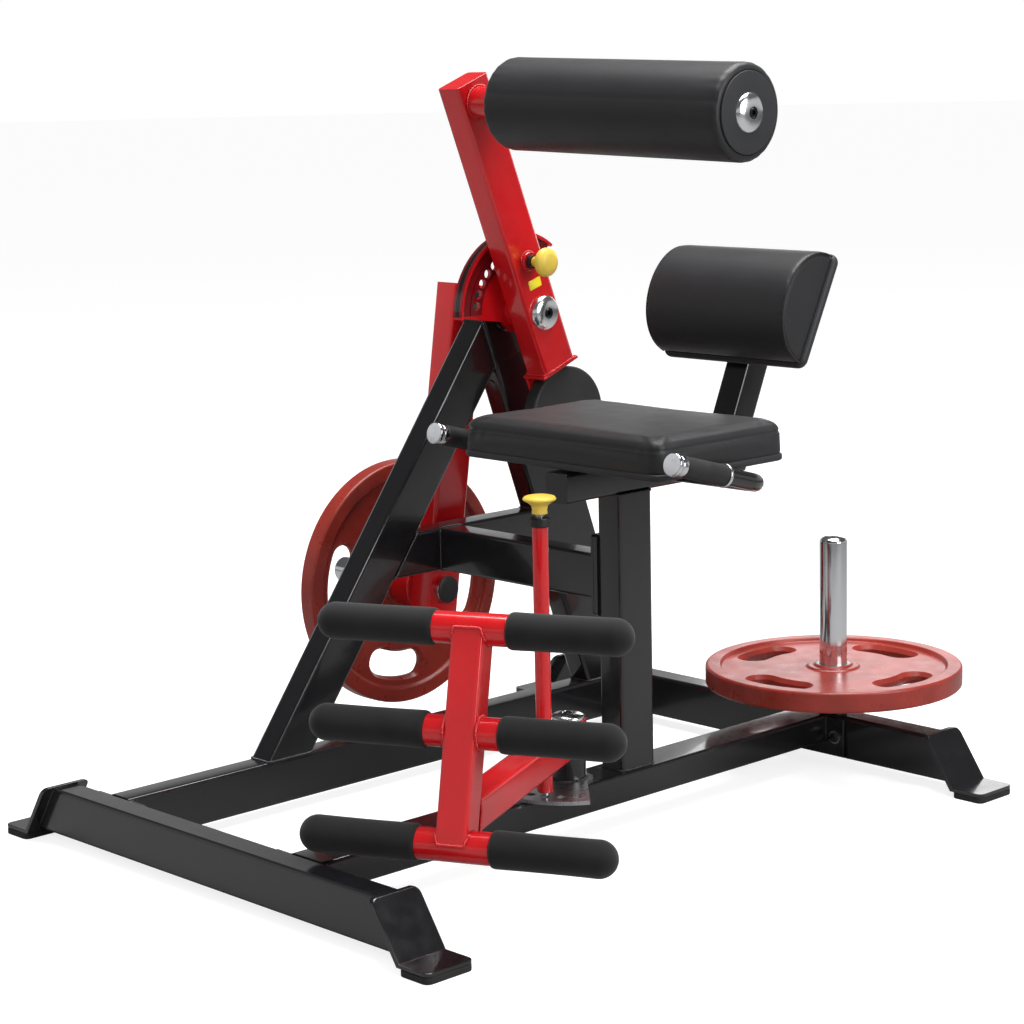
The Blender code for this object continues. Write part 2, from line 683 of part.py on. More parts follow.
def build_post(parent, looks):
    """Cross beam from the A-frame to the seat post, bolted to it through two plates."""
    start = (FAR_RAIL_X + FRAME_SIDE + SEAM, CROSS_BEAM_Y, TIE_Z)
    end = (CROSS_BEAM_END + EMBED, CROSS_BEAM_Y, TIE_Z)
    outline = rounded_rectangle(TUBE_WIDTH, TUBE_DEPTH, TUBE_CORNER)
    beam = bar("cross_beam", looks["black"], parent, outline, start, end, Y)
    plate, middle_y = joint_plate("beam_joint_plate", parent, CROSS_BEAM_END, PLATE)
    across = JOINT_WIDTH / 2 - JOINT_BOLT_INSET
    up = JOINT_HEIGHT / 2 - JOINT_BOLT_INSET
    spots = [
        (CROSS_BEAM_END, middle_y + side * across, TIE_Z + JOINT_RISE + lift * up)
        for side in (-1, 1)
        for lift in (-1, 1)
    ]
    fuse(beam, plate, *hexagon_heads("joint_bolt", parent, spots, -X))

    start = (SEAT_POST_X, SEAT_POST_Y, BASE_TOP + SEAM)
    end = (SEAT_POST_X, SEAT_POST_Y, SEAT_POST_TOP - SEAM)
    post = bar("seat_post", looks["black"], parent, outline, start, end, X)
    plate, _ = joint_plate("post_joint_plate", parent, JOINT_PLATE_END + SEAM, PLATE + EMBED)
    fuse(post, plate)


# Seat, handles and backrest


def cushion_ring(width, length, corner, height, steps=5):
    """One level of the seat pad, as points in space."""
    return [Vector((x, y, height)) for x, y in rounded_rectangle(width, length, corner, steps)]


def loft_mesh(rings):
    """Closes a stack of rings with equal numbers of points into one solid."""
    mesh = bmesh.new()
    levels = [[mesh.verts.new(point) for point in ring] for ring in rings]
    for low, high in zip(levels, levels[1:]):
        count = len(low)
        for index in range(count):
            after = (index + 1) % count
            mesh.faces.new((low[index], low[after], high[after], high[index]))
    mesh.faces.new(levels[0])
    mesh.faces.new(levels[-1])
    return mesh


def seat_pad_mesh():
    """Seat cushion: a proud bottom board, drawn-in sides, a rolled edge and a crowned top."""

    def ring(height, inset, corner):
        return cushion_ring(SEAT_WIDTH - 2 * inset, SEAT_LENGTH - 2 * inset, corner, height)

    groove = SEAT_BOARD + SEAT_BOARD_EDGE
    board = [(0.0, SEAT_BOARD_EDGE), (SEAT_BOARD_EDGE, 0.0), (SEAT_BOARD, 0.0)]
    board.append((groove, 2 * SEAT_BOARD_EDGE))
    rings = [ring(height, inset, SEAT_CORNER - inset) for height, inset in board]

    start, end = SEAT_BULGE
    crown_foot = SEAT_HEIGHT - SEAT_CROWN
    side_foot = groove + SEAT_BOARD_EDGE
    inset = SEAT_LIP
    for step in range(SEAT_SIDE_STEPS + 1):
        share = step / SEAT_SIDE_STEPS
        inset = SEAT_LIP + SEAT_ROLL * (1 - sin(pi * (start + (end - start) * share)))
        height = side_foot + (crown_foot - SEAT_SHOULDER - side_foot) * share
        rings.append(ring(height, inset, SEAT_CORNER - inset))

    edge, depth = inset, SEAT_LENGTH / 2 - SEAT_CORNER / 3
    for step in range(1, SEAT_TOP_STEPS + 1):
        share = (step / SEAT_TOP_STEPS) ** SEAT_TOP_SPACING
        inset = edge + (depth - edge) * share
        rise = (SEAT_SHOULDER + SEAT_CROWN) * sin(pi / 2 * share**SEAT_TOP_FULLNESS)
        half = SEAT_LENGTH / 2 - inset
        corner = max(SEAT_SHOULDER, min(SEAT_CORNER - inset * 0.6, half - RUNNING))
        rings.append(ring(crown_foot - SEAT_SHOULDER + rise, inset, corner))
    return loft_mesh(rings)


def build_seat(parent, looks):
    """Beam under the seat with the seat plate welded on, and the cushion."""
    middle_z = SEAT_POST_TOP + SEAT_BEAM_HEIGHT / 2
    outline = rounded_rectangle(TUBE_WIDTH, SEAT_BEAM_HEIGHT, TUBE_CORNER)
    ends = (NEAR_RAIL_X, SEAT_BEAM_FRONT, middle_z), (NEAR_RAIL_X, SEAT_BEAM_REAR, middle_z)
    beam = bar("under_seat_beam", looks["black"], parent, outline, *ends, X)
    low = (NEAR_RAIL_X - SEAT_PLATE_WIDTH / 2, SEAT_Y - SEAT_PLATE_LENGTH / 2, SEAT_BEAM_TOP - EMBED / 2)
    high = (NEAR_RAIL_X + SEAT_PLATE_WIDTH / 2, SEAT_Y + SEAT_PLATE_LENGTH / 2, SEAT_BEAM_TOP + SEAT_PLATE)
    fuse(beam, block("seat_plate", None, parent, low, high, FOOT_CORNER))
    place("seat_pad", seat_pad_mesh(), looks["vinyl"], parent, (NEAR_RAIL_X, SEAT_Y, SEAT_BOTTOM), smooth=True)


def build_handle(word, side, parent, looks):
    """Bent tube out of the seat beam, a grip over it and a cap on its end."""
    out = Vector((side, 0, 0))
    slope = Vector((0, -cos(HANDLE_SLOPE), sin(HANDLE_SLOPE)))
    root = Vector((NEAR_RAIL_X + side * (TUBE_WIDTH / 2 + SEAM), HANDLE_Y, HANDLE_Z))
    corner = Vector((NEAR_RAIL_X + side * HANDLE_SPREAD, HANDLE_Y, HANDLE_Z))
    grip_end = GRIP_START + GRIP_LENGTH

    route = [root]
    centre = corner - out * HANDLE_BEND + slope * HANDLE_BEND
    bend_steps = 8
    for step in range(bend_steps + 1):
        angle = pi / 2 * step / bend_steps
        route.append(centre + out * HANDLE_BEND * sin(angle) - slope * HANDLE_BEND * cos(angle))
    route.append(corner + slope * grip_end)
    curve = bpy.data.curves.new(f"{word}_handle", "CURVE")
    curve.dimensions = "3D"
    curve.bevel_depth = HANDLE_RADIUS
    curve.bevel_resolution = 6
    curve.use_fill_caps = True
    spline = curve.splines.new("POLY")
    spline.points.add(len(route) - 1)
    for point, spot in zip(spline.points, route):
        point.co = (*(spot - root), 1.0)
    tube = bpy.data.objects.new(f"{word}_handle", curve)
    bpy.context.scene.collection.objects.link(tube)
    curve.materials.append(looks["black"])
    tube.parent = parent
    tube.location = root

    bore = circle_gap(HANDLE_RADIUS, SEAM, SMALL)
    profile = ring_profile(bore, GRIP_RADIUS, GRIP_LENGTH - 2 * SEAM, 0.0015)
    start = corner + slope * (GRIP_START + SEAM)
    turned(f"{word}_grip", looks["foam"], parent, profile, start, slope, SMALL, closed=True)
    profile = [(0, 0), (NECK_RADIUS, 0), (NECK_RADIUS, NECK_LENGTH)]
    head = shaped(HEAD_SHAPE, HANDLE_CAP_RADIUS, HANDLE_CAP_LENGTH)[1:]
    profile += [(radius, NECK_LENGTH + height) for radius, height in head]
    start = corner + slope * (grip_end + SEAM)
    turned(f"{word}_handle_cap", looks["chrome"], parent, profile, start, slope, SMALL)


def back_pad_mesh():
    """D-shaped cushion: flat against its board, round to the front, its ends slightly domed."""
    half = BACK_PAD_HEIGHT / 2
    section = []
    for step in range(BACK_PAD_STEPS + 1):
        angle = pi * step / BACK_PAD_STEPS
        section.append((-BACK_PAD_DEPTH * sin(angle) ** BACK_PAD_FULLNESS, -half * cos(angle)))
    left = [(depth - BACK_PAD_WIDTH / 2, share) for depth, share in BACK_PAD_END]
    right = [(-x, share) for x, share in reversed(left)]
    rings = [[Vector((x, y * share, z * share)) for y, z in section] for x, share in left + right]
    return loft_mesh(rings)


def build_backrest(parent, looks):
    """Leaning post, bracket plate, board and cushion, built upright in the post's own frame."""
    foot = (NEAR_RAIL_X, BACK_POST_Y, SEAT_BEAM_TOP)
    rest = joint_empty("backrest", parent, foot, (-BACK_LEAN, 0, 0))
    level = Matrix.Rotation(BACK_LEAN, 3, "X") @ Z
    outline = rounded_rectangle(TUBE_WIDTH, BACK_POST_DEPTH, TUBE_CORNER)
    ends = Z * (SEAM / cos(BACK_LEAN)), Z * BACK_POST_LENGTH
    bar("back_post", looks["black"], rest, outline, *ends, X, level)

    post_face = -BACK_POST_DEPTH / 2
    board_back = post_face - BOARD_STANDOFF
    half = BRACKET_HEIGHT / 2
    low = (-BRACKET_WIDTH / 2, board_back + SEAM, BOARD_ON_POST - half)
    high = (BRACKET_WIDTH / 2, post_face - SEAM, BOARD_ON_POST + half)
    block("back_bracket", looks["black"], rest, low, high, TUBE_CORNER, Y)

    outline = rounded_rectangle(BOARD_WIDTH, BOARD_HEIGHT, BOARD_CORNER, steps=3)
    start = (0, board_back, BOARD_ON_POST)
    end = (0, board_back - BOARD_THICKNESS, BOARD_ON_POST)
    bar("back_board", looks["matte"], rest, outline, start, end, X)
    start = (0, board_back - BOARD_THICKNESS - SEAM, BOARD_ON_POST)
    place("back_pad", back_pad_mesh(), looks["vinyl"], rest, start, smooth=True)


# Weight plates


def bean_mesh(radius, middle, width, spread, depth):
    """Cutter for one grip slot: a stretch of ring with round ends."""
    start, end = middle - spread / 2, middle + spread / 2
    outer, inner = radius + width / 2, radius - width / 2
    near = (radius * cos(start), radius * sin(start))
    far = (radius * cos(end), radius * sin(end))
    outline = arc((0, 0), outer, start, end, 4)
    outline += arc(far, width / 2, end, end + pi, 6)[1:-1]
    outline += arc((0, 0), inner, end, start, 4)
    outline += arc(near, width / 2, start + pi, start + 2 * pi, 6)[1:-1]
    return bar_mesh(outline, Vector(), Z * depth, X)


def weight_plate(name, material, parent, location, axis):
    """Weight plate with a raised rim and hub, a sloped web and four grip slots."""
    recess = (DISC_THICKNESS - DISC_WEB) / 2
    rim = DISC_RADIUS - DISC_RIM
    slope = recess
    lower = [(DISC_BORE, 0), (DISC_HUB_RADIUS, 0), (DISC_HUB_RADIUS + slope, recess)]
    lower += [(rim - slope, recess), (rim, 0)]
    lower += arc((DISC_RADIUS - DISC_EDGE, DISC_EDGE), DISC_EDGE, -pi / 2, 0, 3)
    upper = [(radius, DISC_THICKNESS - height) for radius, height in reversed(lower)]
    disc = turned(name, material, parent, lower + upper, location, axis, FINE, closed=True)
    turn = along(Vector(axis))
    for number in range(SLOTS):
        angle = SLOT_TURN + 2 * pi * number / SLOTS
        cutter = bean_mesh(SLOT_RADIUS, angle, SLOT_WIDTH, SLOT_ANGLE, 2 * DISC_THICKNESS)
        spot = Vector(location) - Vector(axis) * DISC_THICKNESS / 2
        cut(disc, place(f"{name}_slot_{number}", cutter, None, parent, spot, turn))
    return disc


# Swing


def build_weight_arm(parent, looks):
    """Shaft, weight arm with its stop, horn and hub cap. Parent's Z runs up the weight arm."""
    half = TUBE_WIDTH / 2
    near_face = ROLLER_ARM_X + half
    start_x = WEIGHT_ARM_X - half - SEAM
    length = near_face - start_x
    profile = rod_profile(SHAFT_RADIUS, length, 0.001)
    turned("main_shaft", looks["steel"], parent, profile, (start_x, 0, 0), X)

    outline = rounded_rectangle(TUBE_WIDTH, TUBE_DEPTH, TUBE_CORNER)
    ends = (WEIGHT_ARM_X, 0, -HORN_DROP - WEIGHT_ARM_FOOT), (WEIGHT_ARM_X, 0, WEIGHT_ARM_TOP)
    arm = bar("weight_arm", looks["red"], parent, outline, *ends, X)
    far_face = WEIGHT_ARM_X - half
    profile = rod_profile(STOP_RADIUS, STOP_THICKNESS + EMBED, 0.0015)
    start = (far_face + EMBED, 0, -HORN_DROP)
    fuse(arm, turned("plate_stop", None, parent, profile, start, -X))
    sleeve_end = FAR_RAIL_X - FRAME_SIDE - HOUSING_OVERHANG_FAR - 2 * SEAM
    start = (WEIGHT_ARM_X + half - EMBED, 0, 0)
    profile = rod_profile(HOUSING_RADIUS * 0.8, sleeve_end - start[0])
    fuse(arm, turned("arm_hub_sleeve", None, parent, profile, start, X))
    bore = circle_gap(SHAFT_RADIUS, SEAM, ROUND)
    start = (far_face - TUBE_WIDTH, 0, 0)
    cut(arm, drill("arm_shaft_bore", parent, bore, 3 * TUBE_WIDTH, start, X))
    bore = circle_gap(AXLE_RADIUS, SEAM, SMALL)
    start = (far_face - TUBE_WIDTH, 0, -HORN_DROP)
    cut(arm, drill("arm_horn_bore", parent, bore, 3 * TUBE_WIDTH, start, X, SMALL))

    # The horn is one turned bar: head on the near side, spigot through the arm, chrome part outside.
    head, spigot = HORN_HEAD, TUBE_WIDTH + STOP_THICKNESS + 2 * SEAM
    outside = far_face - STOP_THICKNESS - SEAM - HORN_END
    profile = [(0, 0), (HORN_RADIUS - EMBED, 0), (HORN_RADIUS, EMBED), (HORN_RADIUS, head)]
    profile += [(AXLE_RADIUS, head), (AXLE_RADIUS, head + spigot), (HORN_RADIUS, head + spigot)]
    dome = horn_profile(outside)[2:]
    profile += [(radius, head + spigot + height) for radius, height in dome]
    start = (WEIGHT_ARM_X + half + SEAM + head, 0, -HORN_DROP)
    turned("weight_horn", looks["chrome"], parent, profile, start, -X)

    profile = shaped(DOMED_SHAPE, HUB_CAP_RADIUS, HUB_CAP)
    start = Vector((near_face + SEAM, 0, 0))
    cap = turned("hub_cap", looks["chrome"], parent, profile, start, X)
    fuse(cap, *hexagon_heads("hub_bolt", parent, [start + X * HUB_CAP], X))


def build_quadrant(parent, looks):
    """Selector quadrant on the shaft. Its Z points up the roller arm in the rest position."""
    frame = joint_empty("quadrant_frame", parent, (0, 0, 0), (ROLLER_ARM_LEAN + WEIGHT_ARM_LEAN, 0, 0))
    front, rear = pi / 2 + QUADRANT_FRONT, pi / 2 - QUADRANT_REAR
    rim = QUADRANT_RADIUS
    low_x, high_x = QUADRANT_X - PLATE / 2, QUADRANT_X + PLATE / 2
    tangent = acos(WEB_ROOT / rim)
    inside = EMBED / rim
    web = arc((0, 0), rim - RIM_THICKNESS / 2, rear + inside, front - inside, 15)
    flare = tangent * WEB_FLARE
    web += arc((0, 0), WEB_ROOT * WEB_BACK, front + flare, rear + 2 * pi - flare, 5)
    ends = (low_x, 0, 0), (high_x, 0, 0)
    plate = bar("quadrant", looks["red"], frame, web, *ends, Y)

    band = arc((0, 0), rim, rear, front, 16) + arc((0, 0), rim - RIM_THICKNESS, front, rear, 16)
    ends = (QUADRANT_X - RIM_WIDTH / 2, 0, 0), (QUADRANT_X + RIM_WIDTH / 2, 0, 0)
    band_piece = bar("quadrant_rim", None, frame, band, *ends, Y)
    hub_start = FAR_RAIL_X + FRAME_SIDE + HOUSING_OVERHANG_NEAR + 2 * SEAM
    hub_end = ROLLER_ARM_X - TUBE_WIDTH / 2 - 2 * SEAM
    profile = rod_profile(QUADRANT_HUB, hub_end - hub_start)
    hub = turned("quadrant_hub", None, frame, profile, (hub_start, 0, 0), X)
    fuse(plate, band_piece, hub)
    bore = circle_gap(SHAFT_RADIUS, SEAM, ROUND)
    start = (hub_start - TUBE_WIDTH, 0, 0)
    cut(plate, drill("hub_bore", frame, bore, 3 * TUBE_WIDTH, start, X))
    angles = [number * HOLE_PITCH for number in range(-HOLES_BEHIND, HOLES_AHEAD + 1)]
    spots = [(QUADRANT_X, -HOLE_CIRCLE * sin(a), HOLE_CIRCLE * cos(a)) for a in angles]
    cut(plate, drills("selector_holes", frame, spots, X, HOLE_RADIUS, 3 * PLATE))


def build_roller_arm(parent, looks):
    """Roller arm with its end plate, pin boss, counterweight and axle. Parent's Z runs up the arm."""
    half = TUBE_WIDTH / 2
    near_face, far_face = ROLLER_ARM_X + half, ROLLER_ARM_X - half
    outline = rounded_rectangle(TUBE_WIDTH, TUBE_DEPTH, TUBE_CORNER)
    ends = (ROLLER_ARM_X, 0, -ROLLER_ARM_FOOT - EMBED / 2), (ROLLER_ARM_X, 0, ROLLER_ARM_TOP)
    arm = bar("roller_arm", looks["red"], parent, outline, *ends, X)
    edge_x, edge_y = half + 0.001, TUBE_DEPTH / 2 + FOOT_PLATE_EDGE
    plate_bottom = -ROLLER_ARM_FOOT - FOOT_PLATE
    low = (ROLLER_ARM_X - edge_x, -edge_y, plate_bottom)
    high = (ROLLER_ARM_X + edge_x, edge_y, -ROLLER_ARM_FOOT)
    fuse(arm, block("arm_end_plate", None, parent, low, high))
    profile = rod_profile(BOSS_RADIUS, BOSS_LENGTH + EMBED, 0.0015)
    start = (near_face - EMBED, 0, HOLE_CIRCLE)
    fuse(arm, turned("pin_boss", None, parent, profile, start, X, SMALL))
    bore = circle_gap(SHAFT_RADIUS, RUNNING, ROUND)
    start = (far_face - TUBE_WIDTH, 0, 0)
    cut(arm, drill("roller_arm_bore", parent, bore, 3 * TUBE_WIDTH, start, X))
    bore = circle_gap(PIN_RADIUS, RUNNING, SMALL)
    start = (far_face - TUBE_WIDTH, 0, HOLE_CIRCLE)
    cut(arm, drill("roller_arm_pin_bore", parent, bore, 3 * TUBE_WIDTH, start, X, SMALL))

    disc_z = plate_bottom - COUNTERWEIGHT_GAP - COUNTERWEIGHT_RADIUS
    plate_x = far_face + BRACKET_PLATE
    outline = [(-COUNTER_BRACKET_WIDTH / 2, plate_bottom - SEAM - disc_z)]
    outline += [(COUNTER_BRACKET_WIDTH / 2, plate_bottom - SEAM - disc_z)]
    outline = outline[::-1] + arc((0, 0), COUNTER_BRACKET_WIDTH / 2, pi, 2 * pi, 8)
    ends = (far_face, 0, disc_z), (plate_x, 0, disc_z)
    bar("counterweight_bracket", looks["red"], parent, outline, *ends, Y)
    profile = rod_profile(COUNTERWEIGHT_RADIUS, COUNTERWEIGHT_WIDTH, 0.004)
    start = (plate_x + SEAM, 0, disc_z)
    turned("counterweight", looks["cast"], parent, profile, start, X)

    build_axle(axle_frame(parent, near_face), near_face, looks)


def axle_frame(parent, near_face):
    """Empty where the roller's axle leaves the arm, its X along the drooping axle."""
    return joint_empty("axle_frame", parent, (near_face, 0, ROLLER_UP_ARM), (0, AXLE_DROOP, 0))


def build_axle(frame, near_face, looks):
    """Axle with its sleeve, and the cap that keeps the roller on it."""
    gap = SEAM + AXLE_SLEEVE_RADIUS * sin(AXLE_DROOP)
    sleeve = ROLLER_START - SEAM - near_face - gap
    length = ROLLER_END - near_face - gap
    profile = [(0, 0), (AXLE_SLEEVE_RADIUS, 0), (AXLE_SLEEVE_RADIUS, sleeve), (AXLE_RADIUS, sleeve)]
    profile += [(AXLE_RADIUS, length), (0, length)]
    turned("roller_axle", looks["red"], frame, profile, X * gap, X)
    profile = shaped(DOMED_SHAPE, ROLLER_CAP_RADIUS, ROLLER_CAP)
    start = X * (ROLLER_END + 2 * SEAM - near_face)
    cap = turned("roller_end_cap", looks["chrome"], frame, profile, start, X)
    fuse(cap, *hexagon_heads("roller_bolt", frame, [start + X * ROLLER_CAP], X))
    build_top_roller(joint_empty("roller_axis", frame, X * (ROLLER_START - near_face)), looks)


def build_top_roller(parent, looks):
    """Padded roller on the axle, its edges rolled over."""
    length = ROLLER_END - ROLLER_START
    bore = circle_gap(AXLE_RADIUS, RUNNING, ROUND)
    steps = 4
    core = ROLLER_RADIUS - ROLLER_EDGE
    low = [
        (core + ROLLER_EDGE * sin(step / steps * pi / 2), ROLLER_EDGE * (1 - cos(step / steps * pi / 2)))
        for step in range(steps + 1)
    ]
    high = [(radius, length - height) for radius, height in reversed(low)]
    profile = [(bore, 0), *low, *high, (bore, length)]
    turned("top_roller", looks["vinyl"], parent, profile, (0, 0, 0), X, 40, closed=True)


def build_pull_pin(parent, looks):
    """Selector pin and its knob, drawn back. Parent sits on the pin's axis, in the roller arm's frame."""
    tip = QUADRANT_X + PLATE / 2 + PIN_CLEAR
    boss_end = ROLLER_ARM_X + TUBE_WIDTH / 2 + BOSS_LENGTH
    knob_start = boss_end + PIN_TRAVEL + SEAM
    length = knob_start - SEAM - tip
    profile = [(0, 0), (PIN_RADIUS - PIN_POINT, 0), (PIN_RADIUS, PIN_POINT), (PIN_RADIUS, length), (0, length)]
    turned("pull_pin", looks["steel"], parent, profile, (tip, 0, 0), X, SMALL)
    profile = shaped(PULL_KNOB_SHAPE, KNOB_RADIUS, KNOB_LENGTH)
    turned("pull_knob", looks["yellow"], parent, profile, (knob_start, 0, 0), X, SMALL)


# Foot support


def foot_reach(height):
    """Distance of the leaning post's centre line from the pivot, at that height."""
    return FOOT_POST_REACH + FOOT_POST_SPREAD * (FOOT_POST_Z - height)


def build_pivot(parent, looks):
    """Index plate and pivot post on the near rail."""
    frame = joint_empty("pivot_frame", parent, (NEAR_RAIL_X, PIVOT_Y, 0), (0, 0, FOOT_SWIVEL))
    bottom = BASE_TOP + SEAM
    start, end = -pi / 2 - INDEX_SPREAD / 2, -pi / 2 + INDEX_SPREAD / 2
    rear = PIVOT_RADIUS + INDEX_MARGIN
    shoulder = (pi / 2 - INDEX_SPREAD / 2) * INDEX_SHOULDER
    outline = arc((0, 0), INDEX_RADIUS, start, end, 10)
    outline += arc((0, 0), rear, end + shoulder, start + 2 * pi - shoulder, 8)
    plate = bar("index_plate", looks["chrome"], frame, outline, Z * bottom, Z * INDEX_TOP, X)
    bore = circle_gap(PIVOT_RADIUS, SEAM, SMALL)
    cut(plate, drill("index_bore", frame, bore, 3 * PLATE, Z * (bottom - PLATE), Z, SMALL))
    angles = [number * LOCK_PITCH for number in range(-LOCK_HOLES_EACH_WAY, LOCK_HOLES_EACH_WAY + 1)]
    spots = [(LOCK_REACH * sin(a), -LOCK_REACH * cos(a), bottom) for a in angles]
    cut(plate, drills("lock_holes", frame, spots, Z, LOCK_HOLE_RADIUS, 3 * PLATE))

    profile = [(0, 0), (PIVOT_RADIUS, 0), (PIVOT_RADIUS, SHOULDER_Z - bottom)]
    profile += [(SPINDLE_RADIUS, SHOULDER_Z - bottom), (SPINDLE_RADIUS, SLEEVE_TOP - bottom)]
    profile += [(0, SLEEVE_TOP - bottom)]
    turned("pivot_post", looks["black"], frame, profile, Z * bottom, Z, SMALL)


def build_foot_support(parent, looks):
    """Arm, leaning post, cross bars and foam rollers. Parent's -Y points out along the arm."""
    arm_z = FOOT_ARM_TOP - ARM_TUBE / 2
    lean = Vector((0, FOOT_POST_SPREAD, 1)).normalized()
    normal = Vector((0, 1, -FOOT_POST_SPREAD)).normalized()
    square = rounded_rectangle(ARM_TUBE, ARM_TUBE, TUBE_CORNER)
    back_face = ARM_TUBE / 2 / normal.y
    start = Vector((0, -foot_reach(arm_z) + back_face + SEAM, arm_z))
    arm = bar("foot_arm", looks["red"], parent, square, start, Z * arm_z, X, normal)
    low, high = arm_z - ARM_TUBE / 2 - SLEEVE_DROP, SLEEVE_TOP
    sleeve = turned("pivot_sleeve", None, parent, rod_profile(SLEEVE_RADIUS, high - low), Z * low, Z)
    fuse(arm, sleeve)
    bore = circle_gap(SPINDLE_RADIUS, RUNNING, SMALL)
    cut(arm, drill("sleeve_bore", parent, bore, 2 * ARM_TUBE, Z * (low - PLATE), Z, SMALL))
    bore = circle_gap(GUIDE_RADIUS, SEAM, SMALL)
    spot = (0, -LOCK_REACH, low - PLATE)
    cut(arm, drill("guide_bore", parent, bore, 2 * ARM_TUBE, spot, Z, SMALL))
    profile = shaped(DOMED_SHAPE, PIVOT_CAP_RADIUS, PIVOT_CAP)
    turned("pivot_cap", looks["chrome"], parent, profile, Z * (SLEEVE_TOP + SEAM), Z, SMALL)

    heights = FOOT_BAR_HEIGHTS
    start = Vector((0, -foot_reach(heights["bottom"]), heights["bottom"]))
    end = Vector((0, -foot_reach(heights["top"]), heights["top"]))
    post = bar("foot_post", looks["red"], parent, square, start, end, X)
    for word in ("top", "bottom"):
        saddle = circle_gap(FOOT_BAR_RADIUS, SEAM, ROUND)
        spot = (-ARM_TUBE, -foot_reach(heights[word]), heights[word])
        cutter = turned(f"{word}_saddle", None, parent, rod_profile(saddle, 2 * ARM_TUBE), spot, X)
        cut(post, cutter)
    bore = circle_gap(AXLE_RADIUS, SEAM, SMALL)
    spot = (-ARM_TUBE, -foot_reach(heights["middle"]), heights["middle"])
    cut(post, drill("middle_bore", parent, bore, 2 * ARM_TUBE, spot, X, SMALL))

    for word, height in heights.items():
        foot_bar(word, parent, looks, -foot_reach(height), height)


def foot_bar(word, parent, looks, y, z):
    """Cross bar with a rod out of each end, and a foam roller over each rod."""
    waist = ARM_TUBE / 2 + SEAM
    half = [(FOOT_BAR_RADIUS, FOOT_BAR_HALF), (AXLE_RADIUS, FOOT_BAR_HALF), (AXLE_RADIUS, FOAM_ROD_END)]
    if word == "middle":
        half = [(AXLE_RADIUS, waist), (FOOT_BAR_RADIUS, waist)] + half
    half.append((0, FOAM_ROD_END))
    profile = [(radius, -height) for radius, height in reversed(half)] + half
    turned(f"foot_bar_{word}", looks["red"], parent, profile, (0, y, z), X, SMALL)

    bore = circle_gap(AXLE_RADIUS, SEAM, SMALL)
    inner = FOOT_BAR_HALF + SEAM
    dome_steps = 4
    dome = [
        (FOAM_RADIUS * cos(step / dome_steps * pi / 2), FOAM_END - FOAM_RADIUS * (1 - sin(step / dome_steps * pi / 2)))
        for step in range(dome_steps)
    ]
    profile = [(0, FOAM_ROD_END + SEAM), (bore, FOAM_ROD_END + SEAM), (bore, inner)]
    profile += [(FOAM_RADIUS - 0.003, inner), (FOAM_RADIUS, inner + 0.003), *dome, (0, FOAM_END)]
    for side, hand in ((-1, "left"), (1, "right")):
        turned(f"{word}_{hand}_foot_roller", looks["foam"], parent, profile, (0, y, z), X * side, SMALL)


def build_lock(guide_parent, slide_parent, looks):
    """Guide tube with its collar on the foot support, and the sprung rod inside it, lifted, with its knob."""
    spot = Vector((0, -LOCK_REACH, GUIDE_BOTTOM))
    profile = ring_profile(GUIDE_BORE, GUIDE_RADIUS, GUIDE_TOP - GUIDE_BOTTOM)
    turned("rod_guide", looks["red"], guide_parent, profile, spot, Z, SMALL, closed=True)
    spot = Vector((0, -LOCK_REACH, GUIDE_TOP + SEAM))
    profile = ring_profile(GUIDE_BORE, GUIDE_COLLAR_RADIUS, GUIDE_COLLAR, 0.002)
    turned("guide_collar", looks["matte"], guide_parent, profile, spot, Z, SMALL, closed=True)

    collar_top = GUIDE_TOP + 2 * SEAM + GUIDE_COLLAR
    rod_top = collar_top + LOCK_TRAVEL
    length = rod_top - LOCK_TIP_Z
    profile = [(0, 0), (LOCK_ROD_RADIUS - LOCK_ROD_POINT, 0), (LOCK_ROD_RADIUS, LOCK_ROD_POINT)]
    profile += [(LOCK_ROD_RADIUS, length), (0, length)]
    turned("lock_rod", looks["steel"], slide_parent, profile, Z * LOCK_TIP_Z, Z, SMALL)
    profile = shaped(LOCK_KNOB_SHAPE, LOCK_KNOB_RADIUS, LOCK_KNOB_HEIGHT)
    turned("lock_knob", looks["yellow"], slide_parent, profile, Z * (rod_top + SEAM), Z, SMALL)


def machine_middle():
    """Middle of the machine's footprint, from the pieces that reach furthest each way."""
    lowest = FOOT_BAR_HEIGHTS["bottom"]
    reach = foot_reach(lowest) * sin(FOOT_SWIVEL)
    right = NEAR_RAIL_X + reach + (FOAM_END - FOAM_RADIUS) * cos(FOOT_SWIVEL) + FOAM_RADIUS
    front = FRONT_BAR_Y - FOOT_WIDTH / 2
    rear = REAR_BAR_Y + max(DISC_RADIUS, FOOT_WIDTH / 2)
    return (HORN_END + right) / 2, (front + rear) / 2


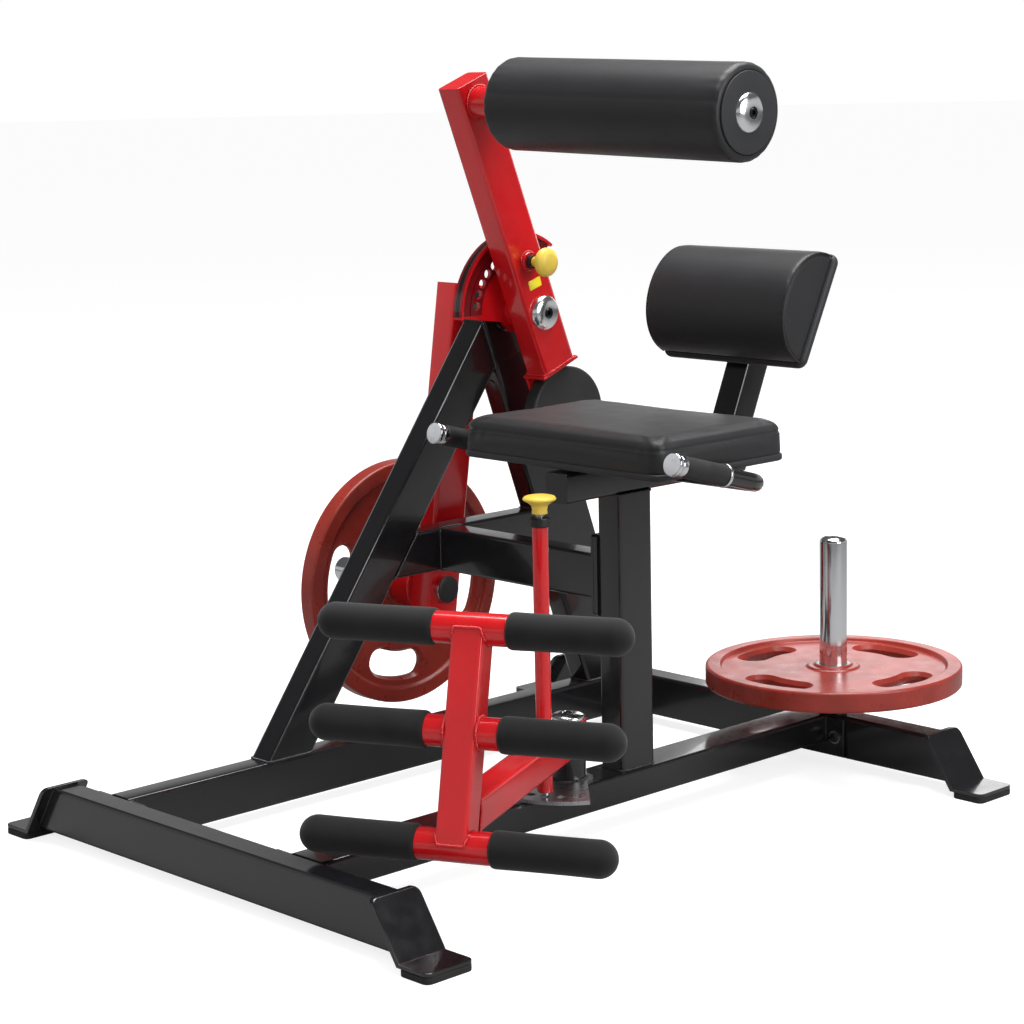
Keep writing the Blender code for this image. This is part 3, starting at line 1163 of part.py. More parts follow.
def build_machine():
    """Builds every piece under the empties of its body."""
    clear_scene()
    looks = {
        "black": paint("black_paint", (0.006, 0.006, 0.007), 0.22),
        "red": paint("red_paint", (0.60, 0.006, 0.010), 0.22),
        "vinyl": paint("black_vinyl", (0.012, 0.012, 0.014), 0.48),
        "foam": paint("black_foam", (0.010, 0.010, 0.011), 0.85),
        "rubber": paint("black_rubber", (0.015, 0.014, 0.014), 0.65),
        "matte": paint("black_board", (0.012, 0.012, 0.012), 0.55),
        "cast": paint("black_counterweight", (0.018, 0.018, 0.019), 0.50),
        "urethane": paint("red_urethane", (0.33, 0.035, 0.025), 0.42),
        "yellow": paint("yellow_plastic", (0.80, 0.50, 0.03), 0.32),
        "chrome": paint("chrome", (0.80, 0.80, 0.82), 0.08, 1.0),
        "steel": paint("steel", (0.55, 0.55, 0.57), 0.30, 1.0),
    }
    middle_x, middle_y = machine_middle()
    machine = joint_empty("machine", None, (-middle_x, -middle_y, 0))
    build_base(machine, looks)
    build_a_frame(machine, looks)
    build_post(machine, looks)
    build_seat(machine, looks)
    build_handle("left", -1, machine, looks)
    build_handle("right", 1, machine, looks)
    build_backrest(machine, looks)
    build_pivot(machine, looks)

    swing = joint_empty("swing_axis", machine, (0, SHAFT_Y, SHAFT_HEIGHT), (-WEIGHT_ARM_LEAN, 0, 0))
    build_weight_arm(swing, looks)
    build_quadrant(swing, looks)
    arm_turn = (ROLLER_ARM_LEAN + WEIGHT_ARM_LEAN, 0, 0)
    roller_arm = joint_empty("roller_arm_axis", swing, (0, 0, 0), arm_turn)
    build_roller_arm(roller_arm, looks)
    build_pull_pin(joint_empty("pin_axis", roller_arm, (0, 0, HOLE_CIRCLE)), looks)

    foot = joint_empty("foot_pivot", machine, (NEAR_RAIL_X, PIVOT_Y, 0), (0, 0, FOOT_SWIVEL))
    build_foot_support(foot, looks)
    build_lock(foot, joint_empty("lock_axis", foot, (0, -LOCK_REACH, 0)), looks)

    far_face = WEIGHT_ARM_X - TUBE_WIDTH / 2
    loaded_x = far_face - STOP_THICKNESS - SEAM
    loaded = joint_empty("loaded_plate_axis", swing, (loaded_x, 0, -HORN_DROP))
    weight_plate("loaded_weight_plate", looks["urethane"], loaded, (0, 0, 0), -X)
    spot = (STORAGE_X, REAR_BAR_Y, STORED_PLATE_BOTTOM)
    stored = joint_empty("stored_plate_axis", machine, spot)
    weight_plate("stored_weight_plate", looks["urethane"], stored, (0, 0, 0), Z)
    bpy.context.view_layer.update()


build_machine()
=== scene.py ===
"""Looks, soft parts, welds, fasteners and studio for the ab and back machine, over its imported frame."""

from __future__ import annotations

import json
import logging
from dataclasses import dataclass
from enum import Enum
from math import cos, pi, radians, sin, sqrt
from typing import Callable, ClassVar, Iterable, Sequence

import bmesh
import bpy
from mathutils import Matrix, Vector


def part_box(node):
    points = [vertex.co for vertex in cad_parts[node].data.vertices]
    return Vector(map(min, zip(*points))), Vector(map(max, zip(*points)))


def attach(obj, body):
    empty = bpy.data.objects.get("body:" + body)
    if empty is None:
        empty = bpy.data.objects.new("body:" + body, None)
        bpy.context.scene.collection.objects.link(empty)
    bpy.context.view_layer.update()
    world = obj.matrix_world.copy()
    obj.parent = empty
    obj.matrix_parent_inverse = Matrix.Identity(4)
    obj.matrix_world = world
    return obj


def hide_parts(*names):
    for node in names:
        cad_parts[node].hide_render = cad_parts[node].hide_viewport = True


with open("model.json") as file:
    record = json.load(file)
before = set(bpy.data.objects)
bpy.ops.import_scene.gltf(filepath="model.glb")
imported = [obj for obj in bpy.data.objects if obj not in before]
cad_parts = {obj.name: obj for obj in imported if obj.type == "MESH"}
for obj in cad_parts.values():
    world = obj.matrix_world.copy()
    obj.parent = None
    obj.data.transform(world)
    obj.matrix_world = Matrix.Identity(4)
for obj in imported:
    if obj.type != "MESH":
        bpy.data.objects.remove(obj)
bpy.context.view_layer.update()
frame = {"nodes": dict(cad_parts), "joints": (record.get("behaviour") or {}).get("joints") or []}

LOG = logging.getLogger("machine")
Point = tuple[float, float]
Point3 = tuple[float, float, float]
Colour = Point3
Pattern = bpy.types.NodeSocket

X = Vector((1, 0, 0))
Y = Vector((0, 1, 0))
Z = Vector((0, 0, 1))
HANDS = ((-1, "left"), (1, "right"))


# Materials


def add_node(
    tree: bpy.types.NodeTree, kind: str, inputs: dict[str | int, object] | None = None, **settings: object
) -> bpy.types.Node:
    """Adds a node to a tree.

    Args:
        tree: The tree.
        kind: The node's type.
        inputs: Input's name or number to the socket that feeds it, or to a constant.
        settings: The node's own settings.

    Returns:
        The node.
    """
    node = tree.nodes.new(kind)
    for key, value in settings.items():
        setattr(node, key, value)
    for label, value in (inputs or {}).items():
        if isinstance(value, bpy.types.NodeSocket):
            tree.links.new(value, node.inputs[label])
        else:
            node.inputs[label].default_value = value
    return node


class Shader:
    """A Principled material under construction, its patterns on Object coordinates."""

    def __init__(self, name: str, colour: Colour, roughness: float, metallic: float = 0.0) -> None:
        """Starts the material with its plain values.

        Args:
            name: Name of the material.
            colour: Base colour, linear.
            roughness: Roughness of the shader.
            metallic: Metallic value of the shader.
        """
        self.colour = colour
        self.roughness = roughness
        self.material = bpy.data.materials.new(name)
        self.material.use_nodes = True
        self.tree = self.material.node_tree
        self.shader = self.tree.nodes["Principled BSDF"]
        self.set("Base Color", (*colour, 1.0))
        self.set("Roughness", roughness)
        self.set("Metallic", metallic)
        self.material.diffuse_color = (*colour, 1.0)
        self.place = self.tree.nodes.new("ShaderNodeTexCoord").outputs["Object"]

    def set(self, socket: str, value: float | tuple[float, ...]) -> None:
        """Sets a constant on one of the shader's own sockets."""
        self.shader.inputs[socket].default_value = value

    def noise(self, scale: float, detail: float = 3.0, stretch: Vector | None = None) -> Pattern:
        """Adds a noise pattern.

        Args:
            scale: Noise cells to a metre.
            detail: Octaves of the noise.
            stretch: Factors on the coordinates, or None for an even pattern.

        Returns:
            The socket with values around one half.
        """
        place = self.place
        if stretch is not None:
            mapping = {"Vector": place, "Scale": stretch}
            place = add_node(self.tree, "ShaderNodeMapping", mapping).outputs["Vector"]
        inputs = {"Vector": place, "Scale": scale, "Detail": detail}
        return add_node(self.tree, "ShaderNodeTexNoise", inputs).outputs["Fac"]

    def cells(self, scale: float, edge: float) -> Pattern:
        """Adds a pattern of small cells, as on leather or foam.

        Args:
            scale: Cells to a metre.
            edge: Width of the furrow between cells, as a share of a cell.

        Returns:
            The socket, 0 in a furrow and 1 on a cell.
        """
        inputs = {"Vector": self.place, "Scale": scale}
        node = add_node(self.tree, "ShaderNodeTexVoronoi", inputs, feature="DISTANCE_TO_EDGE")
        return self.spread(node.outputs["Distance"], 0.0, 1.0, (0.0, edge))

    def spread(self, value: Pattern, low: float, high: float, span: Point = (0.3, 0.7)) -> Pattern:
        """Maps the stretch of a pattern's values in span on the values from low to high."""
        limits = {"From Min": span[0], "From Max": span[1], "To Min": low, "To Max": high}
        return add_node(self.tree, "ShaderNodeMapRange", {"Value": value, **limits}).outputs["Result"]

    def mottle(self, pattern: Pattern, dark: float, light: float, span: Point = (0.3, 0.7)) -> None:
        """Lets the base colour wander between a darker and a lighter one.

        Args:
            pattern: The pattern that it follows.
            dark: Factor on the colour where the pattern is low.
            light: Factor on the colour where it is high.
            span: Pattern values that give the two colours.
        """
        inputs: dict[str | int, object] = {"Factor": self.spread(pattern, 0.0, 1.0, span)}
        for label, factor in (("A", dark), ("B", light)):
            inputs[label] = (*(min(1.0, part * factor) for part in self.colour), 1.0)
        node = add_node(self.tree, "ShaderNodeMix", inputs, data_type="RGBA")
        self.tree.links.new(node.outputs["Result"], self.shader.inputs["Base Color"])

    def roughen(self, pattern: Pattern, less: float, more: float) -> None:
        """Lets the roughness follow a pattern, from so much less to so much more than its plain value."""
        value = self.spread(pattern, self.roughness - less, self.roughness + more)
        self.tree.links.new(value, self.shader.inputs["Roughness"])

    def bump(self, *layers: tuple[Pattern, float, float]) -> None:
        """Stacks bumps.

        Args:
            layers: Pattern, strength and depth in metres of each bump.
        """
        normal: dict[str, Pattern] = {}
        for height, strength, depth in layers:
            inputs = {"Height": height, "Strength": strength, "Distance": depth, **normal}
            node = add_node(self.tree, "ShaderNodeBump", inputs)
            normal = {"Normal": node.outputs["Normal"]}
        self.tree.links.new(normal["Normal"], self.shader.inputs["Normal"])


@dataclass(frozen=True)
class Surface:
    """What every finish has: its material's name, its slot, its colour and how it shines."""

    name: str
    slot: str
    colour: Colour
    roughness: float
    metallic: float = 0.0

    def material(self) -> bpy.types.Material:
        """Builds the material.

        Returns:
            The material with the finish's patterns.
        """
        shader = Shader(self.name, self.colour, self.roughness, self.metallic)
        self.pattern(shader)
        return shader.material

    def pattern(self, shader: Shader) -> None:
        """Adds the finish's patterns to its shader."""


@dataclass(frozen=True)
class PowderCoat(Surface):
    """Gloss powder coat on steel: soft orange peel, a clear top layer and faint wiping marks."""

    roughness: float = 0.19
    coat: float = 0.55
    coat_roughness: float = 0.06

    def pattern(self, shader: Shader) -> None:
        """Adds the top layer, cloudy patches, wiping marks and the peel.

        Args:
            shader: The shader of the finish.
        """
        shader.set("Coat Weight", self.coat)
        shader.set("Coat Roughness", self.coat_roughness)
        patches = shader.noise(7.0, 4.0)
        shader.mottle(patches, 0.88, 1.12)
        shader.roughen(shader.noise(38.0, 5.0), 0.05, 0.07)
        shader.bump((shader.noise(420.0, 1.5), 0.16, 0.0004), (patches, 0.10, 0.0012))


@dataclass(frozen=True)
class Chrome(Surface):
    """Polished chrome with faint handling marks."""

    colour: Colour = (0.80, 0.81, 0.83)
    roughness: float = 0.11
    metallic: float = 1.0

    def pattern(self, shader: Shader) -> None:
        """Adds the handling marks and a slight waviness."""
        shader.roughen(shader.noise(60.0, 5.0), self.roughness * 0.2, self.roughness * 0.3)
        shader.bump((shader.noise(18.0, 2.0), 0.06, 0.0006))


@dataclass(frozen=True)
class GroundSteel(Surface):
    """Plain steel, ground round, with fine lines and darker patches."""

    colour: Colour = (0.52, 0.52, 0.54)
    roughness: float = 0.30
    metallic: float = 1.0

    def pattern(self, shader: Shader) -> None:
        """Adds the patches and the grinding lines.

        Args:
            shader: The shader of the finish.
        """
        shader.mottle(shader.noise(45.0, 4.0), 0.75, 1.0)
        lines = shader.noise(900.0, 2.0, Vector((1.0, 0.05, 0.05)))
        shader.roughen(lines, 0.08, 0.12)
        shader.bump((lines, 0.12, 0.0002))


@dataclass(frozen=True)
class Vinyl(Surface):
    """Upholstery vinyl with a fine pressed grain and soft creases."""

    roughness: float = 0.46
    grain: float = 620.0

    def pattern(self, shader: Shader) -> None:
        """Adds the patches, the pressed grain and shallow creases.

        Args:
            shader: The shader of the finish.
        """
        shader.set("Specular IOR Level", 0.38)
        shader.set("Sheen Weight", 0.06)
        shader.mottle(shader.noise(11.0, 4.0), 0.93, 1.08)
        pebbles = shader.cells(self.grain, 0.28)
        fine = shader.noise(self.grain * 2.4, 2.0)
        shader.roughen(shader.noise(30.0, 3.0), 0.02, 0.03)
        shader.bump((shader.noise(9.0, 1.0), 0.03, 0.0010), (pebbles, 0.08, 0.00015), (fine, 0.05, 0.00010))


@dataclass(frozen=True)
class FoamSkin(Surface):
    """Closed-cell foam: matt, finely pored, with a slight bloom."""

    roughness: float = 0.88
    pores: float = 1100.0

    def pattern(self, shader: Shader) -> None:
        """Adds the bloom and the pores.

        Args:
            shader: The shader of the finish.
        """
        shader.set("Specular IOR Level", 0.22)
        shader.set("Sheen Weight", 0.12)
        bloom = shader.noise(24.0, 5.0)
        shader.mottle(bloom, 0.78, 1.35)
        shader.roughen(bloom, 0.08, 0.06)
        pores = shader.cells(self.pores, 0.2)
        shader.bump((shader.noise(60.0, 3.0), 0.14, 0.0012), (pores, 0.24, 0.00025))


@dataclass(frozen=True)
class Rubber(Surface):
    """Moulded rubber, dull, with dust in its fine texture."""

    roughness: float = 0.72

    def pattern(self, shader: Shader) -> None:
        """Adds the dust and the texture.

        Args:
            shader: The shader of the finish.
        """
        shader.set("Specular IOR Level", 0.35)
        dust = shader.noise(32.0, 6.0)
        shader.mottle(dust, 1.0, 2.0, (0.4, 0.8))
        shader.roughen(dust, 0.10, 0.12)
        shader.bump((shader.noise(700.0, 2.0), 0.22, 0.0003))


@dataclass(frozen=True)
class Urethane(Surface):
    """Cast urethane skin of a weight plate: waxy, slightly uneven, scuffed where plates rub."""

    roughness: float = 0.28

    def pattern(self, shader: Shader) -> None:
        """Adds the uneven colour and the scuffs.

        Args:
            shader: The shader of the finish.
        """
        shader.set("Specular IOR Level", 0.42)
        cloud = shader.noise(14.0, 2.0)
        shader.mottle(cloud, 0.80, 1.18)
        shader.roughen(shader.noise(34.0, 3.0), 0.02, 0.06)
        shader.bump((cloud, 0.05, 0.0008))


@dataclass(frozen=True)
class CastIron(Surface):
    """Cast iron under satin black paint, its skin still grainy from the mould."""

    roughness: float = 0.50

    def pattern(self, shader: Shader) -> None:
        """Adds the cloudy paint and the grain.

        Args:
            shader: The shader of the finish.
        """
        cloud = shader.noise(20.0, 5.0)
        shader.mottle(cloud, 0.85, 1.25)
        shader.roughen(cloud, 0.08, 0.10)
        shader.bump((shader.noise(260.0, 4.0), 0.26, 0.0005))


@dataclass(frozen=True)
class Plastic(Surface):
    """Moulded plastic with a little wear and a faint flow pattern."""

    roughness: float = 0.42

    def pattern(self, shader: Shader) -> None:
        """Adds the flow pattern, the wear and the skin.

        Args:
            shader: The shader of the finish.
        """
        shader.mottle(shader.noise(28.0, 4.0), 0.90, 1.06)
        shader.roughen(shader.noise(90.0, 4.0), 0.06, 0.12)
        shader.bump((shader.noise(340.0, 2.0), 0.10, 0.0003))


class Finish(Enum):
    """Every finish on the machine."""

    BLACK_COAT = PowderCoat("gloss_black_coat", "black_paint", (0.0065, 0.0065, 0.0075))
    RED_COAT = PowderCoat("gloss_red_coat", "red_paint", (0.50, 0.005, 0.008), 0.20)
    # Painted shade: a darker copy of the red coat for the quadrant's track, web sheet and rim skin. Their
    # real paint is the same red as the arm's.
    PAINTED_SHADE_RED = PowderCoat("shaded_red_coat", "red_paint", (0.150, 0.003, 0.006), 0.22)
    CHROME = Chrome("polished_chrome", "chrome")
    SOFT_CHROME = Chrome("soft_chrome", "chrome", (0.84, 0.85, 0.86), 0.19)
    SATIN_CAP = Chrome("satin_cap", "chrome", (0.62, 0.63, 0.66), 0.30, 0.35)
    STEEL = GroundSteel("ground_steel", "steel")
    VINYL = Vinyl("grained_vinyl", "black_vinyl", (0.0105, 0.0105, 0.0120))
    SIDE_VINYL = Vinyl("side_panel_vinyl", "black_vinyl", (0.0150, 0.0155, 0.0180), 0.52, grain=780.0)
    THREAD = FoamSkin("seam_thread", "black_vinyl", (0.0090, 0.0090, 0.0100), 0.70, pores=2400.0)
    FOAM = FoamSkin("roller_foam", "black_foam", (0.0085, 0.0085, 0.0090))
    GRIP = Rubber("grip_rubber", "black_foam", (0.0120, 0.0120, 0.0125), 0.60)
    FLOOR_RUBBER = Rubber("floor_rubber", "black_rubber", (0.0130, 0.0125, 0.0120))
    URETHANE = Urethane("red_urethane_skin", "red_urethane", (0.235, 0.024, 0.016))
    CAST = CastIron("painted_cast_iron", "black_counterweight", (0.0170, 0.0175, 0.0180))
    YELLOW = Plastic("yellow_knob_plastic", "yellow_plastic", (0.66, 0.47, 0.060), 0.34)
    TAG = Plastic("plain_yellow_tag", "yellow_plastic", (0.78, 0.66, 0.010))
    BLACK_PLASTIC = Plastic("black_plastic", "black_board", (0.0100, 0.0100, 0.0105))
    DARK_SCREW = GroundSteel("blackened_screw", "steel", (0.045, 0.045, 0.048), 0.34)


MADE: dict[Finish, bpy.types.Material] = {}


def material_of(finish: Finish) -> bpy.types.Material:
    """The finish's material, built the first time that it is asked for.

    Args:
        finish: The finish.

    Returns:
        Its one material.
    """
    if finish not in MADE:
        MADE[finish] = finish.value.material()
    return MADE[finish]


# Mesh helpers


def object_of(name: str, mesh: bmesh.types.BMesh, place: Matrix | None = None) -> bpy.types.Object:
    """Makes an object at the origin whose mesh carries its place.

    Args:
        name: Name of the piece.
        mesh: The mesh, which is used up.
        place: Where the mesh goes, or None if it is there already.

    Returns:
        The linked object.
    """
    if place is not None:
        bmesh.ops.transform(mesh, matrix=place, verts=mesh.verts)
    if mesh.faces:
        bmesh.ops.recalc_face_normals(mesh, faces=mesh.faces)
    data = bpy.data.meshes.new(name)
    mesh.to_mesh(data)
    mesh.free()
    return linked(name, data)


def linked(name: str, data: bpy.types.ID) -> bpy.types.Object:
    """Puts an object into the scene.

    Args:
        name: Name of the object.
        data: Its mesh, curve, light or camera.

    Returns:
        The object.
    """
    thing = bpy.data.objects.new(name, data)
    bpy.context.scene.collection.objects.link(thing)
    return thing


def smooth(thing: bpy.types.Object, angle: float = 40.0) -> None:
    """Shades the piece smooth, with sharp edges above the angle in degrees."""
    thing.data.shade_smooth()
    thing.data.set_sharp_from_angle(angle=radians(angle))


def modifier(thing: bpy.types.Object, kind: str, **settings: object) -> bpy.types.Modifier:
    """Adds a modifier.

    Args:
        thing: The object that gets it.
        kind: The modifier's type.
        settings: The modifier's own settings.

    Returns:
        The modifier.
    """
    made = thing.modifiers.new(kind.lower(), kind)
    for key, value in settings.items():
        setattr(made, key, value)
    return made


def bevel(thing: bpy.types.Object, width: float, steps: int, angle: float = 50.0) -> None:
    """Rounds the edges of a piece that are sharper than the angle in degrees."""
    modifier(thing, "BEVEL", width=width, segments=steps, limit_method="ANGLE", angle_limit=radians(angle))


def cut_out(piece: bpy.types.Object, cutter: bpy.types.Object) -> bpy.types.Modifier:
    """Takes the cutter's solid out of the piece, once its modifiers are applied."""
    return modifier(piece, "BOOLEAN", operation="DIFFERENCE", solver="EXACT", object=cutter)


def settled(thing: bpy.types.Object) -> bpy.types.Object:
    """Turns the evaluated object into a plain mesh with no modifiers.

    Args:
        thing: A mesh or curve object.

    Returns:
        The object, which is a new one where it was a curve.
    """
    graph = bpy.context.evaluated_depsgraph_get()
    data = bpy.data.meshes.new_from_object(thing.evaluated_get(graph))
    thing.modifiers.clear()
    if not isinstance(thing.data, bpy.types.Curve):
        thing.data = data
        return thing
    name = thing.name
    bpy.data.objects.remove(thing)
    return linked(name, data)


def along(direction: Vector) -> Matrix:
    """The rotation that turns Z to a direction, with X kept level where it can be."""
    return direction.to_track_quat("Z", "Y").to_matrix().to_4x4()


def placed(origin: Vector, turn: Matrix | None = None) -> Matrix:
    """A rotation followed by a move."""
    move = Matrix.Translation(origin)
    return move if turn is None else move @ turn


def seat_of(node: str, way: Vector) -> Vector:
    """Where a piece stands in its node's box.

    Args:
        node: Name of the CAD node.
        way: Unit vector, along an axis, that points from the piece's foot to its head.

    Returns:
        Middle of the box's side under the foot.
    """
    parts = []
    for start, end, step in zip(*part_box(node), way):
        side = start if step > 0 else end
        parts.append(side if step else (start + end) / 2)
    return Vector(parts)


def joint(name: str) -> dict:
    """The frame's entry of a joint."""
    return next(entry for entry in frame["joints"] if entry["name"] == name)


def wall(inner: float, outer: float, low: float, high: float) -> list[Point]:
    """Section of a plain ring, or of a disc where the inner radius is 0."""
    return [(inner, low), (outer, low), (outer, high), (inner, high)]


def arc(middle: Point, radius: float, start: float, end: float, steps: int) -> list[Point]:
    """Points on an arc about its middle, from the start angle to the end angle, both ends included."""
    angles = [start + (end - start) * step / steps for step in range(steps + 1)]
    return [(middle[0] + radius * cos(angle), middle[1] + radius * sin(angle)) for angle in angles]


def circle(middle: Vector, axis: Vector, radius: float, steps: int) -> list[Vector]:
    """Points on a circle about an axis."""
    turn = placed(middle, along(axis))
    return [turn @ Vector((*spot, 0)) for spot in arc((0, 0), radius, 0, 2 * pi, steps)[:-1]]


def lathe(
    profile: Sequence[Point], sides: int = 64, ring: bool = False, soft: float = 0.0, steps: int = 4
) -> bmesh.types.BMesh:
    """Spins a profile of (radius, height) points round Z.

    Args:
        profile: The outline, from the foot's middle to the top's middle.
        sides: Sides of the turned shape.
        ring: True where the outline returns to its start.
        soft: Length that the rounding takes off each side of a corner, or 0 for sharp corners.
        steps: Steps of the rounding.

    Returns:
        The closed mesh.
    """
    if soft:
        profile = rounded(profile, soft, steps, ring)
    mesh = bmesh.new()
    points = [mesh.verts.new((radius, 0, height)) for radius, height in profile]
    edges = [mesh.edges.new(pair) for pair in zip(points, points[1:])]
    if ring:
        edges.append(mesh.edges.new((points[-1], points[0])))
    spun = {"cent": (0, 0, 0), "axis": Z, "angle": 2 * pi, "steps": sides, "use_merge": True}
    bmesh.ops.spin(mesh, geom=points + edges, **spun)
    bmesh.ops.remove_doubles(mesh, verts=mesh.verts, dist=1e-6)
    return mesh


def rounded(profile: Sequence[Point], radius: float, steps: int = 4, ring: bool = False) -> list[Point]:
    """Rounds the inner corners of an outline.

    Args:
        profile: The outline's points.
        radius: Length taken off each side of a corner, at most a third of that side.
        steps: Points put in the place of a corner, less one.
        ring: True if the last point joins the first.

    Returns:
        The rounded outline.
    """
    count = len(profile)
    result: list[Point] = []
    for index, point in enumerate(profile):
        if not ring and index in (0, count - 1):
            result.append(point)
            continue
        here = Vector(point)
        before, after = Vector(profile[index - 1]) - here, Vector(profile[(index + 1) % count]) - here
        start = here + before * min(1 / 3, radius / max(before.length, 1e-9))
        end = here + after * min(1 / 3, radius / max(after.length, 1e-9))
        for step in range(steps + 1):
            share = step / steps
            spot = start * (1 - share) ** 2 + here * 2 * share * (1 - share) + end * share**2
            result.append((spot.x, spot.y))
    return result


def tube(name: str, path: Sequence[Vector], radius: float, sides: int) -> bpy.types.Object:
    """A round tube along a path, as a plain mesh.

    Args:
        name: Name of the piece.
        path: Points that its middle follows.
        radius: Radius of the tube.
        sides: Blender's bevel resolution.

    Returns:
        The mesh object.
    """
    curve = bpy.data.curves.new(name, "CURVE")
    curve.dimensions = "3D"
    curve.bevel_depth = radius
    curve.bevel_resolution = sides
    curve.use_fill_caps = True
    spline = curve.splines.new("POLY")
    spline.points.add(len(path) - 1)
    for point, spot in zip(spline.points, path):
        point.co = (*spot, 1.0)
    thing = settled(linked(name, curve))
    smooth(thing, 50)
    return thing


def round_corners(width: float, height: float, radius: float, steps: int = 8) -> list[Point]:
    """A rectangle with round corners.

    Args:
        width: Its whole width.
        height: Its whole height.
        radius: Radius of the corners.
        steps: Steps of each corner.

    Returns:
        The points, anticlockwise about the rectangle's middle.
    """
    points = []
    for quarter, (side_x, side_y) in enumerate(((1, 1), (-1, 1), (-1, -1), (1, -1))):
        middle = (side_x * (width / 2 - radius), side_y * (height / 2 - radius))
        points += arc(middle, radius, quarter * pi / 2, (quarter + 1) * pi / 2, steps)
    return points


def stacked(rings: Sequence[Sequence[Vector]]) -> bmesh.types.BMesh:
    """Closes a stack of rings into one solid.

    Args:
        rings: The rings, with equal numbers of points.

    Returns:
        The closed mesh.
    """
    mesh = bmesh.new()
    levels = [[mesh.verts.new(point) for point in ring] for ring in rings]
    for low, high in zip(levels, levels[1:]):
        for index in range(len(low)):
            after = (index + 1) % len(low)
            mesh.faces.new((low[index], low[after], high[after], high[index]))
    mesh.faces.new(levels[0])
    mesh.faces.new(levels[-1])
    return mesh


def merged(node: str) -> bmesh.types.BMesh:
    """Reads a CAD node's mesh, with its triangles merged and its flat faces whole.

    Args:
        node: Name of the CAD node.

    Returns:
        The mesh.
    """
    mesh = bmesh.new()
    mesh.from_mesh(frame["nodes"][node].data)
    bmesh.ops.remove_doubles(mesh, verts=mesh.verts, dist=1e-5)
    bmesh.ops.dissolve_limit(mesh, angle_limit=radians(0.4), verts=mesh.verts, edges=mesh.edges)
    return mesh


def clean_copy(node: str, soften: float = 0.0008) -> bpy.types.Object:
    """Copies a CAD node and softens its edges.

    Args:
        node: Name of the CAD node.
        soften: Width of the rounding on its hard edges, or 0 for none.

    Returns:
        The copy, named after the node.
    """
    thing = object_of(f"{node}_skin", merged(node))
    smooth(thing, 34)
    if soften:
        bevel(thing, soften, 2)
    modifier(thing, "WEIGHTED_NORMAL", keep_sharp=True)
    return thing


def flat_outline(node: str, way: Vector) -> list[Vector]:
    """Outline of the flat face at the end of a CAD node.

    Args:
        node: Name of the CAD node.
        way: Rough direction that the face looks in.

    Returns:
        The outline's points, in order.
    """
    mesh = merged(node)
    faces = [face for face in mesh.faces if face.normal.dot(way) > 0.75]
    best = max(faces, key=lambda face: face.calc_center_median().dot(way))
    points = [vert.co.copy() for vert in best.verts]
    mesh.free()
    return points


# Geometry Nodes that lay small pieces along a line or at points


class Tree:
    """A node tree whose group inputs are set by name."""

    def __init__(self, name: str, inputs: Sequence[tuple[str, str, object]]) -> None:
        """Starts the tree.

        Args:
            name: Name of the node group.
            inputs: Name, socket type and value of each input.
        """
        self.group = bpy.data.node_groups.new(name, "GeometryNodeTree")
        face = self.group.interface
        face.new_socket("Line", in_out="INPUT", socket_type="NodeSocketGeometry")
        face.new_socket("Pieces", in_out="OUTPUT", socket_type="NodeSocketGeometry")
        self.names: dict[str, str] = {}
        for label, kind, value in (*inputs, ("Finish", "NodeSocketMaterial", None)):
            socket = face.new_socket(label, in_out="INPUT", socket_type=kind)
            if value is not None:
                socket.default_value = value
            self.names[label] = socket.identifier
        self.start = self.group.nodes.new("NodeGroupInput")
        self.end = self.group.nodes.new("NodeGroupOutput")

    def add(self, kind: str, links: dict[str, object] | None = None, **settings: object) -> bpy.types.Node:
        """Adds a node with its links or constants, and its own settings."""
        return add_node(self.group, kind, links, **settings)

    def given(self, label: str) -> bpy.types.NodeSocket:
        """The group input of that name."""
        return self.start.outputs[label]

    def steps_along(self, spacing: str) -> dict[str, bpy.types.NodeSocket]:
        """Puts a point at each step of the line.

        Args:
            spacing: Name of the input with the distance between points.

        Returns:
            The sockets of the points and of the rotation along the line.
        """
        curve = self.add("GeometryNodeMeshToCurve", {"Mesh": self.given("Line")})
        links = {"Curve": curve.outputs["Curve"], "Length": self.given(spacing)}
        line = self.add("GeometryNodeResampleCurve", links, mode="LENGTH")
        tangent = self.add("GeometryNodeInputTangent").outputs["Tangent"]
        turn = self.add("FunctionNodeAlignRotationToVector", {"Vector": tangent}, axis="X")
        return {"Points": line.outputs["Curve"], "Rotation": turn.outputs["Rotation"]}

    def finish(self, spread: dict[str, bpy.types.NodeSocket]) -> None:
        """Puts the piece on its points, realises the instances and gives them the finish.

        Args:
            spread: Sockets of the points, the piece, its rotation and, where it has one, its scale.
        """
        pieces = self.add("GeometryNodeInstanceOnPoints", spread).outputs["Instances"]
        real = self.add("GeometryNodeRealizeInstances", {"Geometry": pieces}).outputs["Geometry"]
        dressed = self.add("GeometryNodeSetMaterial", {"Geometry": real, "Material": self.given("Finish")})
        self.group.links.new(dressed.outputs["Geometry"], self.end.inputs["Pieces"])

    def run(self, thing: bpy.types.Object, finish: Finish, **values: float) -> bpy.types.Object:
        """Runs the tree on an object and returns the object as a plain mesh.

        Args:
            thing: The line or the points.
            finish: Finish of the pieces.
            values: Inputs by name, with spaces written as underscores.

        Returns:
            The object with the pieces as its mesh.
        """
        made = thing.modifiers.new("pieces", "NODES")
        made.node_group = self.group
        made[self.names["Finish"]] = material_of(finish)
        for label, value in values.items():
            made[self.names[label.replace("_", " ")]] = value
        return settled(thing)


